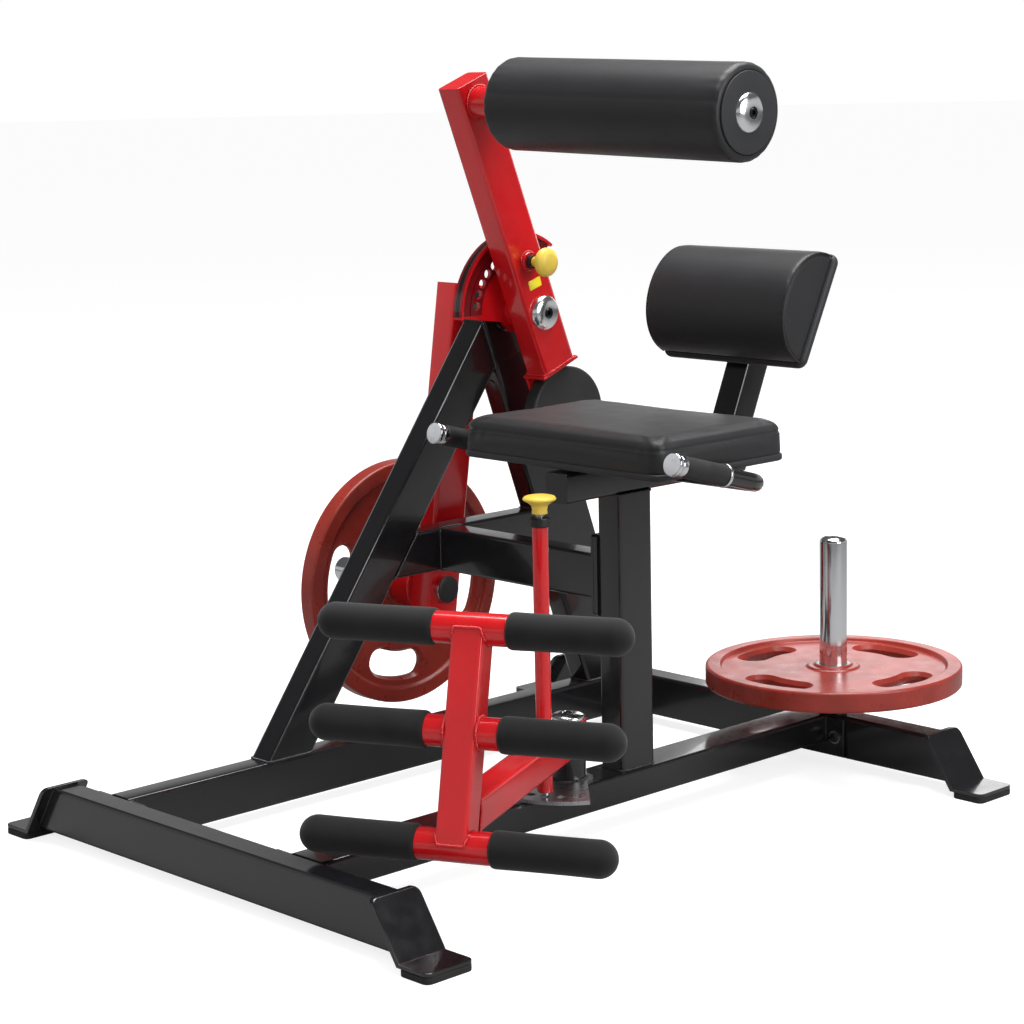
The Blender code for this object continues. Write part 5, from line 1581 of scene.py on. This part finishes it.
@dataclass
class Swing(SubAssembly):
    """Shaft, weight arm with its horn, hub cap and selector quadrant."""

    body: ClassVar[str] = "weight_swing"
    lean: float = radians(8.65)
    drop: float = 0.5105
    arm_face: float = -0.3961542
    stop_radius: float = 0.0455
    sleeve_radius: float = 0.031
    sleeve_length: float = 0.0504
    hub: SeatedScrew = SeatedScrew(0.0305)
    quadrant_x: float = -0.2241542
    quadrant_turn: float = radians(21.2)
    quadrant_start: float = radians(-56.0)
    quadrant_span: float = radians(125.0)
    quadrant_rim: float = 0.139
    # The track is a real raised band. The web and the rim skin are thin sheets over the plate and the rim.
    # All three are coloured with the painted-shade red.
    track: tuple[float, float, float, float] = (0.0862, 0.1125, 0.0028, 0.0054)
    web: tuple[float, float, float, float] = (0.1128, 0.1336, 0.0028, 0.0037)
    skin: Point = (0.0104, 0.0003)
    band: Point = (0.0044, 0.0006)
    hole_circle: float = 0.0985
    hole_radius: float = 0.0080
    hole_pitch: float = radians(12.0)
    hole_depth: float = 0.04
    hole_numbers: range = range(-2, 6)

    def build(self) -> None:
        """Dresses the swing and makes its horn and caps."""
        self.refine(("weight_arm",), Finish.RED_COAT, 0.0010)
        self.quadrant()
        self.refine(("main_shaft",), Finish.STEEL, 0.0)
        self.refine(("weight_horn",), Finish.CHROME, 0.0)
        self.seated_screw("hub", "hub_cap", placed(seat_of("hub_cap", X), along(X)), self.hub)
        self.horn_head()

    def spot(self, turn: float, radius: float, x: float) -> Vector:
        """A point of the quadrant, by its angle and radius about the shaft and its place along it."""
        return self.place @ Vector((x, -radius * sin(turn), radius * cos(turn)))

    def swept(self, section: Sequence[Point]) -> bmesh.types.BMesh:
        """Sweeps a section about the shaft, from one end of the quadrant to the other.

        Args:
            section: Corners of the section, as radius and x.

        Returns:
            The closed mesh.
        """
        steps = 60
        turns = [self.quadrant_start + self.quadrant_span * step / steps for step in range(steps + 1)]
        return stacked([[self.spot(turn, radius, x) for radius, x in section] for turn in turns])

    def quadrant(self) -> None:
        """Selector quadrant: plate, raised track with the holes, thin web and rim sheets, the three in a
        darker red that is painted shade, bare black band.
        """
        shaft = Vector(joint("roller_arm_hinge")["pos_m"])
        turn = Matrix.Rotation(self.quadrant_turn, 4, "X")
        self.place = placed(Vector((self.quadrant_x, shaft.y, shaft.z)), turn)
        track = object_of("hole_track", self.swept(wall(*self.track)))
        self.add("quadrant_painted_shade_sheet", self.swept(wall(*self.web)), Finish.PAINTED_SHADE_RED, sharp=34)
        plate = clean_copy("quadrant", 0.0006)
        self.drill((plate, track))
        self.hand_over(plate, Finish.RED_COAT, ["quadrant"])
        self.hand_over(track, Finish.PAINTED_SHADE_RED)
        # The rim skin is a thin sheet of painted-shade red. The band over it is black coat.
        layers = (("skin", self.skin, Finish.PAINTED_SHADE_RED), ("band", self.band, Finish.BLACK_COAT))
        low = self.quadrant_rim - 0.0002
        for word, (half, height), finish in layers:
            high = self.quadrant_rim + height
            section = ((low, -half), (low, half), (high, half), (high, -half))
            self.add(f"rim_{word}", self.swept(section), finish)

    def drill(self, pieces: Sequence[bpy.types.Object]) -> None:
        """Cuts the selector holes through the quadrant's pieces.

        Args:
            pieces: The plate and the track.
        """
        cutters = []
        for number in self.hole_numbers:
            hole = lathe(wall(0, self.hole_radius, 0, self.hole_depth), 40)
            foot = self.spot(number * self.hole_pitch, self.hole_circle, -self.hole_depth / 2)
            cutters.append(object_of(f"hole_cutter_{number}", hole, placed(foot, along(X))))
            for piece in pieces:
                cut_out(piece, cutters[-1])
                piece.modifiers.move(len(piece.modifiers) - 1, 0)
        for piece in pieces:
            settled(piece)
            smooth(piece, 34)
            modifier(piece, "WEIGHTED_NORMAL", keep_sharp=True)
        for cutter in cutters:
            bpy.data.objects.remove(cutter)

    def horn_head(self) -> None:
        """Black plug over the horn's head on the arm's near side, and the welds of stop and sleeve."""
        _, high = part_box("weight_horn")
        shaft = Vector((0, *joint("weight_swing_hinge")["pos_m"][1:]))
        horn = shaft + Vector((0, -sin(self.lean), -cos(self.lean))) * self.drop
        outline = [(0, 0), (0.0246, 0), (0.0246, 0.002), (0.019, 0.0034), (0, 0.0038)]
        place = placed(Vector((high.x - 0.0005, horn.y, horn.z)), along(X))
        self.add("horn_head_plug", lathe(outline, 48, soft=0.0015), Finish.BLACK_PLASTIC, place)
        ring = circle(Vector((self.arm_face - 0.0004, horn.y, horn.z)), X, self.stop_radius, 48)
        self.weld("plate_stop_weld", ring, Finish.RED_COAT)
        sleeve_end = Vector((self.arm_face + self.sleeve_length, shaft.y, shaft.z))
        ring = circle(sleeve_end, X, self.sleeve_radius, 40)
        self.weld("arm_sleeve_weld", ring, Finish.RED_COAT, 0.0022)


@dataclass
class RollerArm(SubAssembly):
    """Roller arm with its end plate, boss, tag, counterweight, axle and selector pin."""

    body: ClassVar[str] = "roller_swing"
    lean: float = radians(21.2)
    droop: float = radians(1.8)
    face: float = -0.1531542
    width: float = 0.050
    depth: float = 0.076
    foot: float = 0.105
    pin_up: float = 0.0985
    boss_cad: float = 0.016
    boss: float = 0.0065
    boss_radius: float = 0.0175
    barrel: float = 0.0090
    barrel_radii: Point = (0.0095, 0.0118)
    neck_radius: float = 0.0089
    neck_sunk: float = 0.0066
    tag_up: float = 0.056
    tag_size: Point = (0.029, 0.0165)
    bracket_half: float = 0.0435
    bracket_end: float = 0.030
    disc_down: float = 0.2035
    roller_up: float = 0.392
    axle_weld_radius: float = 0.0285
    cap_reach: float = 0.5896
    cap: SeatedScrew = SeatedScrew(0.0312)

    def build(self) -> None:
        """Makes the arm's pieces, the pin and the welds."""
        shaft = Vector(joint("roller_arm_hinge")["pos_m"])
        turn = Matrix.Rotation(self.lean, 4, "X")
        self.place = placed(Vector((0, shaft.y, shaft.z)), turn)
        self.axle = turn @ Matrix.Rotation(self.droop, 4, "Y") @ X
        self.arm()
        self.refine(("roller_axle",), Finish.RED_COAT)
        self.bracket()
        self.counterweight()
        self.tag()
        self.pin()
        end = self.place @ Vector((self.face, 0, self.roller_up)) + self.axle * self.cap_reach
        self.seated_screw("axle", "roller_end_cap", placed(end, along(self.axle)), self.cap)
        self.lay_welds()

    def arm(self) -> None:
        """Dresses the arm and shortens the pin's boss."""
        arm = clean_copy("roller_arm", 0.0010)
        for vert in arm.data.vertices:
            if vert.co.x > self.face + self.boss_cad / 2:
                vert.co.x -= self.boss_cad - self.boss
        self.hand_over(arm, Finish.RED_COAT, ["roller_arm"])

    def bracket(self) -> None:
        """Plate of the counterweight: as wide as the end plate, then drawn in round the disc's middle."""
        half, top, waist = self.bracket_half, -self.foot - 0.0053, -self.foot - 0.055
        outline = [(-half, top), (-half, waist), *arc((0, -self.disc_down), self.bracket_end, pi, 2 * pi, 12)]
        outline += [(half, waist), (half, top)]
        back = self.face - self.width
        rings = [[self.place @ Vector((x, a, b)) for a, b in outline] for x in (back, back + 0.005)]
        plate = object_of("counterweight_plate", stacked(rings))
        smooth(plate, 34)
        bevel(plate, 0.0008, 2)
        self.hand_over(plate, Finish.RED_COAT, ["counterweight_bracket"])

    def counterweight(self) -> None:
        """Cast disc with rounded edges."""
        low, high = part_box("counterweight")
        section = wall(0, (high.z - low.z) / 2, 0, high.x - low.x)
        place = placed(seat_of("counterweight", X), along(X))
        mesh = lathe(section, 96, soft=0.006, steps=5)
        self.add("cast_counterweight", mesh, Finish.CAST, place, ["counterweight"])

    def tag(self) -> None:
        """Plain yellow tag between the pin and the hub."""
        outline = round_corners(*self.tag_size, 0.0015, 4)
        turn = Matrix.Rotation(radians(-4), 4, "X")
        foot = Vector((self.face, 0, self.tag_up))
        rings = []
        for height, share in ((0.0001, 1.0), (0.0005, 1.0), (0.0007, 0.985)):
            ring = [turn @ Vector((height, a * share, b * share)) for a, b in outline]
            rings.append([self.place @ (spot + foot) for spot in ring])
        self.add("plain_tag", stacked(rings), Finish.TAG)

    def pin(self) -> None:
        """Selector pin with its black barrel and mushroom knob."""
        self.refine(("pull_pin",), Finish.STEEL, 0.0, "selector")
        low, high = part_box("pull_knob")
        foot = seat_of("pull_knob", X)
        place = placed(Vector((self.face + self.boss + 0.0002, foot.y, foot.z)), along(X))
        mesh = lathe(wall(*self.barrel_radii, 0, self.barrel), 48, True, 0.0008, 3)
        self.add("pin_barrel", mesh, Finish.BLACK_PLASTIC, place)
        length, radius, neck = high.x - low.x, (high.z - low.z) / 2, self.neck_radius
        start = length * 0.34
        span = length - start
        outline = [(0, -self.neck_sunk), (neck, -self.neck_sunk), (neck, start * 0.75)]
        outline += [(radius * 0.55, start + span * 0.06), (radius * 0.90, start + span * 0.20)]
        outline += [(radius, start + span * 0.42), (radius * 0.93, start + span * 0.70)]
        outline += [(radius * 0.60, start + span * 0.93), (0, length)]
        mesh = lathe(outline, 72, soft=0.004, steps=5)
        self.add("pin_knob", mesh, Finish.YELLOW, placed(foot, along(X)), ["pull_knob"], "selector", 60)

    def lay_welds(self) -> None:
        """Lays the beads round the end plate, the boss and the axle."""
        outline = round_corners(self.width + 0.0008, self.depth + 0.0008, 0.006, 4)
        middle = self.face - self.width / 2
        path = [self.place @ Vector((middle + a, b, -self.foot + 0.0008)) for a, b in outline]
        self.weld("end_plate_weld", path, Finish.RED_COAT)
        boss = self.place @ Vector((self.face + 0.0006, 0, self.pin_up))
        self.weld("boss_weld", circle(boss, X, self.boss_radius, 32), Finish.RED_COAT, 0.0018)
        start = self.place @ Vector((self.face + 0.0014, 0, self.roller_up))
        self.weld("axle_weld", circle(start, self.axle, self.axle_weld_radius, 40), Finish.RED_COAT)


@dataclass
class TopRoller(SubAssembly):
    """Padded roller: wrapped vinyl with rolled edges, a lengthwise seam and an end disc on each side."""

    body: ClassVar[str] = "padded_roller"
    lean: float = radians(21.2)
    droop: float = radians(1.8)
    radius: float = 0.0765
    length: float = 0.508
    cad_length: float = 0.502
    edge: float = 0.0100
    bore: float = 0.0132
    proud: float = 0.0010
    disc: float = 0.0640
    disc_thickness: float = 0.0050
    groove_depth: float = 0.0026
    recess: float = 0.0340
    seam_at: float = 2.2
    seam_end: float = 0.022

    def build(self) -> None:
        """Makes the wrap, the discs and the seam's stitches."""
        spin = joint("top_roller_spin")
        start = Vector(spin["pos_m"]) - Vector(spin["axis"]) * (self.length - self.cad_length) / 2
        turn = Matrix.Rotation(self.lean, 4, "X") @ Matrix.Rotation(self.droop + pi / 2, 4, "Y")
        self.place = placed(start, turn)
        wrap = self.wrap()
        self.end_disc("arm", self.proud + 0.0024, 0)
        self.end_disc("open", self.length - self.proud - 0.0024, pi)
        x, y = self.radius * cos(self.seam_at), self.radius * sin(self.seam_at)
        ends = [self.place @ Vector((x, y, z)) for z in (self.seam_end, self.length - self.seam_end)]
        self.stitch("roller_seam_stitches", laid_on(wrap, ends), closed=False)

    def wrap(self) -> bpy.types.Object:
        """Makes the wrap with its rolled edges, its creases and its seam.

        Returns:
            The wrap, in its place.
        """
        face, deep = self.proud, self.proud + self.groove_depth
        half = [(self.bore, face), (self.disc - 0.004, face), (self.disc - 0.0022, deep)]
        half += [(self.disc, deep), (self.disc + 0.0014, face)]
        half += arc((self.radius - self.edge, face + self.edge), self.edge, -pi / 2, 0, 8)
        other = [(across, self.length - height) for across, height in reversed(half)]
        steps, start, end = 56, half[-1][1], other[0][1]
        middle = [(self.radius, start + (end - start) * step / steps) for step in range(1, steps)]
        wrap = object_of("roller_wrap", lathe([*half, *middle, *other], 128, True))
        carve(wrap, self.creases)
        wrap.data.transform(self.place)
        smooth(wrap, 60)
        self.hand_over(wrap, Finish.VINYL, ["top_roller"])
        return wrap

    def end_disc(self, word: str, height: float, turn: float) -> None:
        """Makes the disc at one end, with a recess for the axle's fittings.

        Args:
            word: Name of the end.
            height: Place of the disc's face along the roller.
            turn: Half a turn for the disc that looks the other way.
        """
        thick, rim = self.disc_thickness, self.disc - 0.0004
        floor = thick - (self.length - self.cad_length) / 2
        outline = [(self.bore, 0), (rim, 0), (rim, thick), (self.recess, thick)]
        outline += [(self.recess, floor), (self.bore, floor)]
        flip = placed(Vector((0, 0, height)), Matrix.Rotation(turn, 4, "X")) @ placed(Vector((0, 0, -thick)))
        mesh = lathe(outline, 96, True, 0.0012, 3)
        self.add(f"roller_{word}_disc", mesh, Finish.SIDE_VINYL, self.place @ flip)

    def creases(self, spot: Vector) -> Vector:
        """Presses in the lengthwise seam, and faint gathers near the ends.

        Args:
            spot: A point of the wrap, on its own axes.

        Returns:
            The point's move.
        """
        across = sqrt(spot.x**2 + spot.y**2)
        if across < self.radius - 0.004:
            return Vector()
        from_end = min(spot.z, self.length - spot.z)
        angle = Vector((spot.x, spot.y)).angle_signed(Vector((1, 0)))
        gather = 0.00035 * sin(angle * 23 + 1.1 * sin(angle * 7)) * max(0.0, 1 - from_end / 0.05)
        seam_angle = abs(((-angle - self.seam_at + pi) % (2 * pi)) - pi)
        cut = -0.0012 * groove(seam_angle * self.radius, 0.004)
        move = gather + cut - 0.0004
        return Vector((spot.x / across * move, spot.y / across * move, 0))


@dataclass
class FootSupport(SubAssembly):
    """Swivelling foot support: arm, leaning post, cross bars, foam rollers, guide and pivot cap."""

    body: ClassVar[str] = "foot_support"
    swivel: float = radians(25.83)
    reach: float = 0.4398
    spread: float = 0.2901
    reach_height: float = 0.300
    top: float = 0.4319
    middle: float = 0.2887
    bottom: float = 0.1323
    arm_height: float = 0.1677
    tube_width: float = 0.050
    tube_corner: float = 0.006
    bar_radius: float = 0.0240
    bar_half: float = 0.057
    foam_radius: float = 0.0278
    foam_end: float = 0.2441
    foam_hollow: float = 0.0006
    foam_lip: float = 0.006
    rod_radius: float = 0.0128
    rod_end: float = 0.2253
    lock_reach: float = 0.1122
    guide_radius: float = 0.0132
    guide_welds: tuple[tuple[str, float], ...] = (("top", 0.1931), ("bottom", 0.1423))
    cap: SeatedScrew = SeatedScrew(0.0272, 0.0100, 0.0080)

    def build(self) -> None:
        """Makes the foot support's pieces."""
        pivot = Vector(joint("foot_support_swivel")["pos_m"])
        self.place = placed(Vector((pivot.x, pivot.y, 0)), Matrix.Rotation(self.swivel, 4, "Z"))
        self.across = self.place.to_3x3() @ X
        self.refine(("foot_arm", "foot_post"), Finish.RED_COAT, 0.0010)
        rows = (("top", self.top), ("middle", self.middle), ("bottom", self.bottom))
        bars = [f"foot_bar_{word}" for word, _ in rows]
        self.refine((*bars, "rod_guide"), Finish.RED_COAT, 0.0006)
        self.refine(("guide_collar",), Finish.BLACK_PLASTIC, 0.0004)
        self.lock()
        for word, height in rows:
            self.row(word, height)
        self.seated_screw("pivot", "pivot_cap", placed(seat_of("pivot_cap", Z)), self.cap)
        self.post_welds()
        self.arm_welds()

    def on_post(self, height: float) -> Vector:
        """Point of the post's centre line at a height, on the foot support's own axes."""
        return Vector((0, -self.reach - self.spread * (self.reach_height - height), height))

    def foam(self) -> list[Point]:
        """Outline of a foam roller: open at the bar, slightly hollow, and round at its end.

        Returns:
            The outline, from the rod's end to the foam's.
        """
        radius, inner = self.foam_radius, self.bar_half + 0.0004
        start, end = inner + self.foam_lip, self.foam_end - self.foam_radius
        outline = [(0, self.rod_end), (self.rod_radius, self.rod_end), (self.rod_radius, inner)]
        outline += [(radius - 0.0045, inner), (radius - 0.0010, inner + 0.0018), (radius, start)]
        for step in range(1, 12):
            share = step / 12
            outline.append((radius - self.foam_hollow * sin(pi * share), start + (end - start) * share))
        return [*outline, *arc((0, end), radius, 0, pi / 2, 15)[:-1], (0, self.foam_end)]

    def row(self, word: str, height: float) -> None:
        """Makes the two foam rollers of one cross bar.

        Args:
            word: Name of the row.
            height: Height of its axis.
        """
        middle = self.place @ self.on_post(height)
        for side, hand in HANDS:
            place = placed(middle, along(self.across * side))
            node = f"{word}_{hand}_foot_roller"
            mesh = lathe(self.foam(), 64)
            piece = self.add(f"{word}_{hand}_foam", mesh, Finish.FOAM, place, [node], sharp=50)

    def lock(self) -> None:
        """Lock rod and its knob, which lift together."""
        self.refine(("lock_rod",), Finish.STEEL, 0.0, "lock")
        low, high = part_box("lock_knob")
        radius, tall = (high.x - low.x) / 2, high.z - low.z
        shape = [(0, 0), (0.46, 0), (0.47, 0.08), (0.44, 0.20), (0.50, 0.45), (0.74, 0.62), (0.97, 0.72)]
        shape += [(1, 0.80), (0.90, 0.92), (0.5, 0.99), (0, 1)]
        outline = [(radius * across, tall * up) for across, up in shape]
        mesh = lathe(outline, 72, soft=0.004, steps=5)
        place = placed(seat_of("lock_knob", Z))
        self.add("lock_grip_knob", mesh, Finish.YELLOW, place, ["lock_knob"], "lock", 60)

    def post_welds(self) -> None:
        """Lays the beads where the post meets its three bars."""
        width = self.tube_width + 0.0008
        radius = self.bar_radius + 0.0012
        for word, height, sign in (("top", self.top, -1), ("bottom", self.bottom, 1)):
            path = []
            for a, b in round_corners(width, width, self.tube_corner, 5):
                up = sqrt(max(radius**2 - b**2, 0.0))
                path.append(self.place @ self.off_post(height, a, b, sign * up))
            self.weld(f"post_{word}_weld", path, Finish.RED_COAT, 0.0026)
        for side, hand in HANDS:
            spot = self.place @ self.off_post(self.middle, side * (self.tube_width / 2 + 0.0008), 0, 0)
            ring = circle(spot, self.across, self.bar_radius + 0.0008, 36)
            self.weld(f"middle_bar_{hand}_weld", ring, Finish.RED_COAT, 0.0026)

    def arm_welds(self) -> None:
        """Lays the beads where the arm meets the post and the guide."""
        slope = Vector((0, self.spread, 1)).normalized().z
        width, depth = self.tube_width + 0.0004, self.tube_width / 2 + 0.0008
        path = []
        for a, b in round_corners(width, width, self.tube_corner, 5):
            path.append(self.place @ self.off_post(self.arm_height, a, depth, b / slope))
        self.weld("arm_post_weld", path, Finish.RED_COAT, 0.0026)
        for word, height in self.guide_welds:
            ring = circle(self.place @ Vector((0, -self.lock_reach, height)), Z, self.guide_radius, 28)
            self.weld(f"guide_{word}_weld", ring, Finish.RED_COAT, 0.0018)

    def off_post(self, height: float, across: float, deep: float, up: float) -> Vector:
        """A point near the post, on the foot support's own axes.

        Args:
            height: Height of the point of its centre line that it is measured from.
            across: Distance to the right.
            deep: Distance back, square to the post.
            up: Distance up along the post.

        Returns:
            The point.
        """
        lean = Vector((0, self.spread, 1)).normalized()
        back = Vector((0, 1, -self.spread)).normalized()
        return self.on_post(height) + X * across + back * deep + lean * up


class PlateUse(Enum):
    """Which weight plate it is: its node and its body."""

    LOADED = ("loaded_weight_plate", "loaded_plate")
    STORED = ("stored_weight_plate", "stored_plate")


@dataclass
class WeightPlate(SubAssembly):
    """Weight plate: flat rim, deep web, raised hub, flared grip slots and a steel bush."""

    use: PlateUse
    radius: float = 0.225
    thickness: float = 0.036
    rim: float = 0.026
    web: float = 0.022
    hub: float = 0.044
    bore: float = 0.0253
    bush_gap: float = 0.0007
    bush_wall: float = 0.0047
    slots: int = 4
    slot_radius: float = 0.155
    slot_width: float = 0.047
    slot_angle: float = radians(28.0)
    slot_turn: float = radians(1.3)
    flare: float = 0.0120
    lean: float = radians(8.65)
    sides: int = 144

    def build(self) -> None:
        """Makes the plate with its slots and its bush, in its place."""
        node, body = self.use.value
        place = self.placing(node)
        disc = object_of(f"{node}_disc", lathe(self.outline(), self.sides, True))
        turns = [self.slot_turn + 2 * pi * number / self.slots for number in range(self.slots)]
        cutters = [self.slot_cutter(turn) for turn in turns]
        for cutter in cutters:
            cut_out(disc, cutter)
        settled(disc)
        for cutter in cutters:
            bpy.data.objects.remove(cutter)
        disc.data.transform(place)
        smooth(disc, 32)
        bevel(disc, 0.0022, 3, 55)
        modifier(disc, "WEIGHTED_NORMAL", keep_sharp=True)
        self.hand_over(disc, Finish.URETHANE, [node], body)
        inner = self.bore - self.bush_gap
        ring = wall(inner, inner + self.bush_wall, 0.0004, self.thickness - 0.0004)
        self.add(f"{node}_bush", lathe(ring, 64, True, 0.0008, 2), Finish.STEEL, place, body=body)

    def placing(self, node: str) -> Matrix:
        """Finds where the plate's own frame stands.

        Args:
            node: The plate's CAD node.

        Returns:
            The matrix from the plate's frame, with its foot at the origin and its axis on Z.
        """
        if self.use is PlateUse.STORED:
            return placed(seat_of(node, Z))
        return placed(seat_of(node, -X), Matrix.Rotation(-self.lean, 4, "X") @ along(-X))

    def outline(self) -> list[Point]:
        """Section of the plate, both faces alike.

        Returns:
            The section's points, with round corners.
        """
        recess = (self.thickness - self.web) / 2
        inner = self.radius - self.rim
        raised = recess * 0.55
        face = [(self.bore, 0.0006), (self.bore + 0.007, 0.0006)]
        face += [(self.bore + 0.009, raised), (self.hub, raised)]
        face += [(self.hub + recess * 0.5, recess), (inner - recess * 0.45, recess)]
        face += [(inner, 0.0), (self.radius - 0.0030, 0.0), (self.radius, 0.0032)]
        other = [(across, self.thickness - height) for across, height in reversed(face)]
        return rounded(face + other, 0.0024, 3, True)

    def bean(self, middle: float, width: float, steps: int = 14) -> list[Point]:
        """Outline of a grip slot.

        Args:
            middle: Angle of its middle about the plate's axis.
            width: Its width.
            steps: Steps of each side and of each round end.

        Returns:
            The points.
        """
        start, end = middle - self.slot_angle / 2, middle + self.slot_angle / 2
        outer, inner = self.slot_radius + width / 2, self.slot_radius - width / 2
        points = []
        for radius, first, last, base in ((outer, start, end, end), (inner, end, start, start + pi)):
            centre = (self.slot_radius * cos(last), self.slot_radius * sin(last))
            points += arc((0, 0), radius, first, last, steps)
            points += arc(centre, width / 2, base, base + pi, steps)[1:-1]
        return points

    def slot_cutter(self, middle: float) -> bpy.types.Object:
        """Makes a solid in the shape of one slot, right through the plate and flared at both faces.

        Args:
            middle: Angle of the slot's middle about the plate's axis.

        Returns:
            The cutter.
        """
        recess = (self.thickness - self.web) / 2
        slope = self.web / 2 - 0.0035
        low = [(-0.01, self.flare), (recess - 0.0002, self.flare), (recess + slope, 0.0)]
        levels = low + [(self.thickness - height, wider) for height, wider in reversed(low)]
        rings = []
        for height, wider in levels:
            outline = self.bean(middle, self.slot_width + wider)
            rings.append([Vector((x, y, height)) for x, y in outline])
        return object_of("slot_cutter", stacked(rings))


@dataclass
class StorageHorn(SubAssembly):
    """Upright chrome horn that keeps the spare plate."""

    dome: float = 0.0115
    steps: int = 14

    def build(self) -> None:
        """Turns the horn with its domed end."""
        low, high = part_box("storage_horn")
        radius, height = (high.x - low.x) / 2, high.z - low.z
        angles = [pi / 2 * step / self.steps for step in range(self.steps)]
        dome = [(radius * cos(angle), height - self.dome * (1 - sin(angle))) for angle in angles]
        mesh = lathe([(0, 0), (radius, 0), *dome, (0, height)], 72)
        self.add("upright_horn", mesh, Finish.CHROME, placed(seat_of("storage_horn", Z)), ["storage_horn"])


# Studio


@dataclass
class Lamp:
    """Square soft lamp."""

    name: str
    spot: Point3
    aim: Point3
    size: float
    power: float
    mirrored: bool = True

    def hang(self) -> None:
        """Hangs the lamp. Where it isn't mirrored, no finish shows it as a bright patch."""
        data = bpy.data.lights.new(self.name, "AREA")
        data.size = self.size
        data.energy = self.power
        thing = linked(self.name, data)
        thing.location = self.spot
        thing.rotation_euler = (Vector(self.aim) - Vector(self.spot)).to_track_quat("-Z", "Y").to_euler()
        thing.visible_glossy = self.mirrored


LAMPS = (
    Lamp("top_lamp", (0.3, 0.6, 4.2), (0.0, 0.0, 0.4), 3.2, 330.0),
    Lamp("right_lamp", (4.6, 0.6, 2.2), (0.0, 0.0, 0.6), 2.6, 120.0),
    Lamp("front_lamp", (2.0, -4.0, 2.6), (0.0, 0.0, 0.5), 2.4, 45.0, mirrored=False),
    Lamp("side_lamp", (-4.4, -1.8, 2.4), (0.0, 0.0, 0.6), 2.2, 45.0, mirrored=False),
    Lamp("back_lamp", (-2.4, 4.2, 1.7), (0.0, 0.0, 0.4), 1.6, 16.0),
)


@dataclass
class Studio:
    """Pale floor, plain lamps, even surroundings and the camera at the photograph's angle."""

    camera_at: Point3 = (3.03720, -2.92439, 1.23886)
    right: Point3 = (0.6903172, 0.7231859, -0.0215481)
    up: Point3 = (-0.1110695, 0.1353573, 0.9845517)
    back: Point3 = (0.7149306, -0.6772596, 0.1737634)
    lens: float = 90.106
    sensor: float = 36.0
    surround: float = 0.40
    reflected_low: float = 0.50
    reflected_high: float = 0.10
    band: Point = (0.26, 0.34)
    floor_radius: float = 60.0
    floor_tone: float = 0.42
    floor_mirrored: float = 0.24
    floor_glow: float = 0.80

    def build(self) -> None:
        """Makes the whole studio."""
        self.camera()
        self.world()
        self.floor()
        for lamp in LAMPS:
            lamp.hang()
        bpy.context.scene.view_settings.view_transform = "Standard"

    def camera(self) -> None:
        """Puts the camera where the photograph was taken from."""
        data = bpy.data.cameras.new("camera")
        data.lens = self.lens
        data.sensor_width = self.sensor
        thing = linked("camera", data)
        turn = Matrix((self.right, self.up, self.back)).transposed().to_4x4()
        thing.matrix_world = placed(Vector(self.camera_at), turn)
        bpy.context.scene.camera = thing

    def world(self) -> None:
        """White to the camera and pale to the machine; in reflections light low down and dark above."""
        world = bpy.data.worlds.new("studio")
        world.use_nodes = True
        bpy.context.scene.world = world
        tree = world.node_tree
        seen = add_node(tree, "ShaderNodeLightPath").outputs
        place = add_node(tree, "ShaderNodeTexCoord").outputs["Generated"]
        height = add_node(tree, "ShaderNodeSeparateXYZ", {"Vector": place}).outputs["Z"]
        limits = {"From Min": self.band[0], "From Max": self.band[1]}
        limits |= {"To Min": self.reflected_low, "To Max": self.reflected_high}
        sky = add_node(tree, "ShaderNodeMapRange", {"Value": height, **limits}).outputs["Result"]
        choice = {"Factor": seen["Is Glossy Ray"], "A": self.surround, "B": sky}
        light = add_node(tree, "ShaderNodeMix", choice).outputs["Result"]
        choice = {"Factor": seen["Is Camera Ray"], "A": light, "B": 1.0}
        strength = add_node(tree, "ShaderNodeMix", choice).outputs["Result"]
        background = tree.nodes["Background"]
        background.inputs["Color"].default_value = (1, 1, 1, 1)
        tree.links.new(strength, background.inputs["Strength"])

    def floor(self) -> None:
        """A wide pale floor that still takes the machine's shadow, and is darker in reflections."""
        mesh = bmesh.new()
        bmesh.ops.create_circle(mesh, cap_ends=True, segments=96, radius=self.floor_radius)
        floor = object_of("studio_floor", mesh)
        material = bpy.data.materials.new("studio_floor")
        material.use_nodes = True
        tree = material.node_tree
        shader = tree.nodes["Principled BSDF"].inputs
        shader["Roughness"].default_value = 0.9
        shader["Specular IOR Level"].default_value = 0.0
        shader["Emission Color"].default_value = (1, 1, 1, 1)
        seen = add_node(tree, "ShaderNodeLightPath").outputs
        plain, mirrored = ((tone, tone, tone, 1) for tone in (self.floor_tone, self.floor_mirrored))
        choice = {"Factor": seen["Is Glossy Ray"], "A": plain, "B": mirrored}
        tone = add_node(tree, "ShaderNodeMix", choice, data_type="RGBA").outputs["Result"]
        tree.links.new(tone, shader["Base Color"])
        factors = {0: seen["Is Camera Ray"], 1: self.floor_glow}
        glow = add_node(tree, "ShaderNodeMath", factors, operation="MULTIPLY").outputs[0]
        tree.links.new(glow, shader["Emission Strength"])
        floor.data.materials.append(material)


def main() -> None:
    """Builds the studio and every sub-assembly."""
    logging.basicConfig(level=logging.INFO, format="%(message)s")
    Studio().build()
    parts: list[SubAssembly] = [
        Base(),
        AFrame(),
        Seat(),
        Handles(),
        Backrest(),
        Swing(),
        RollerArm(),
        TopRoller(),
        FootSupport(),
        WeightPlate(PlateUse.LOADED),
        WeightPlate(PlateUse.STORED),
        StorageHorn(),
    ]
    for part in parts:
        part.build()


if __name__ == "__main__":
    main()
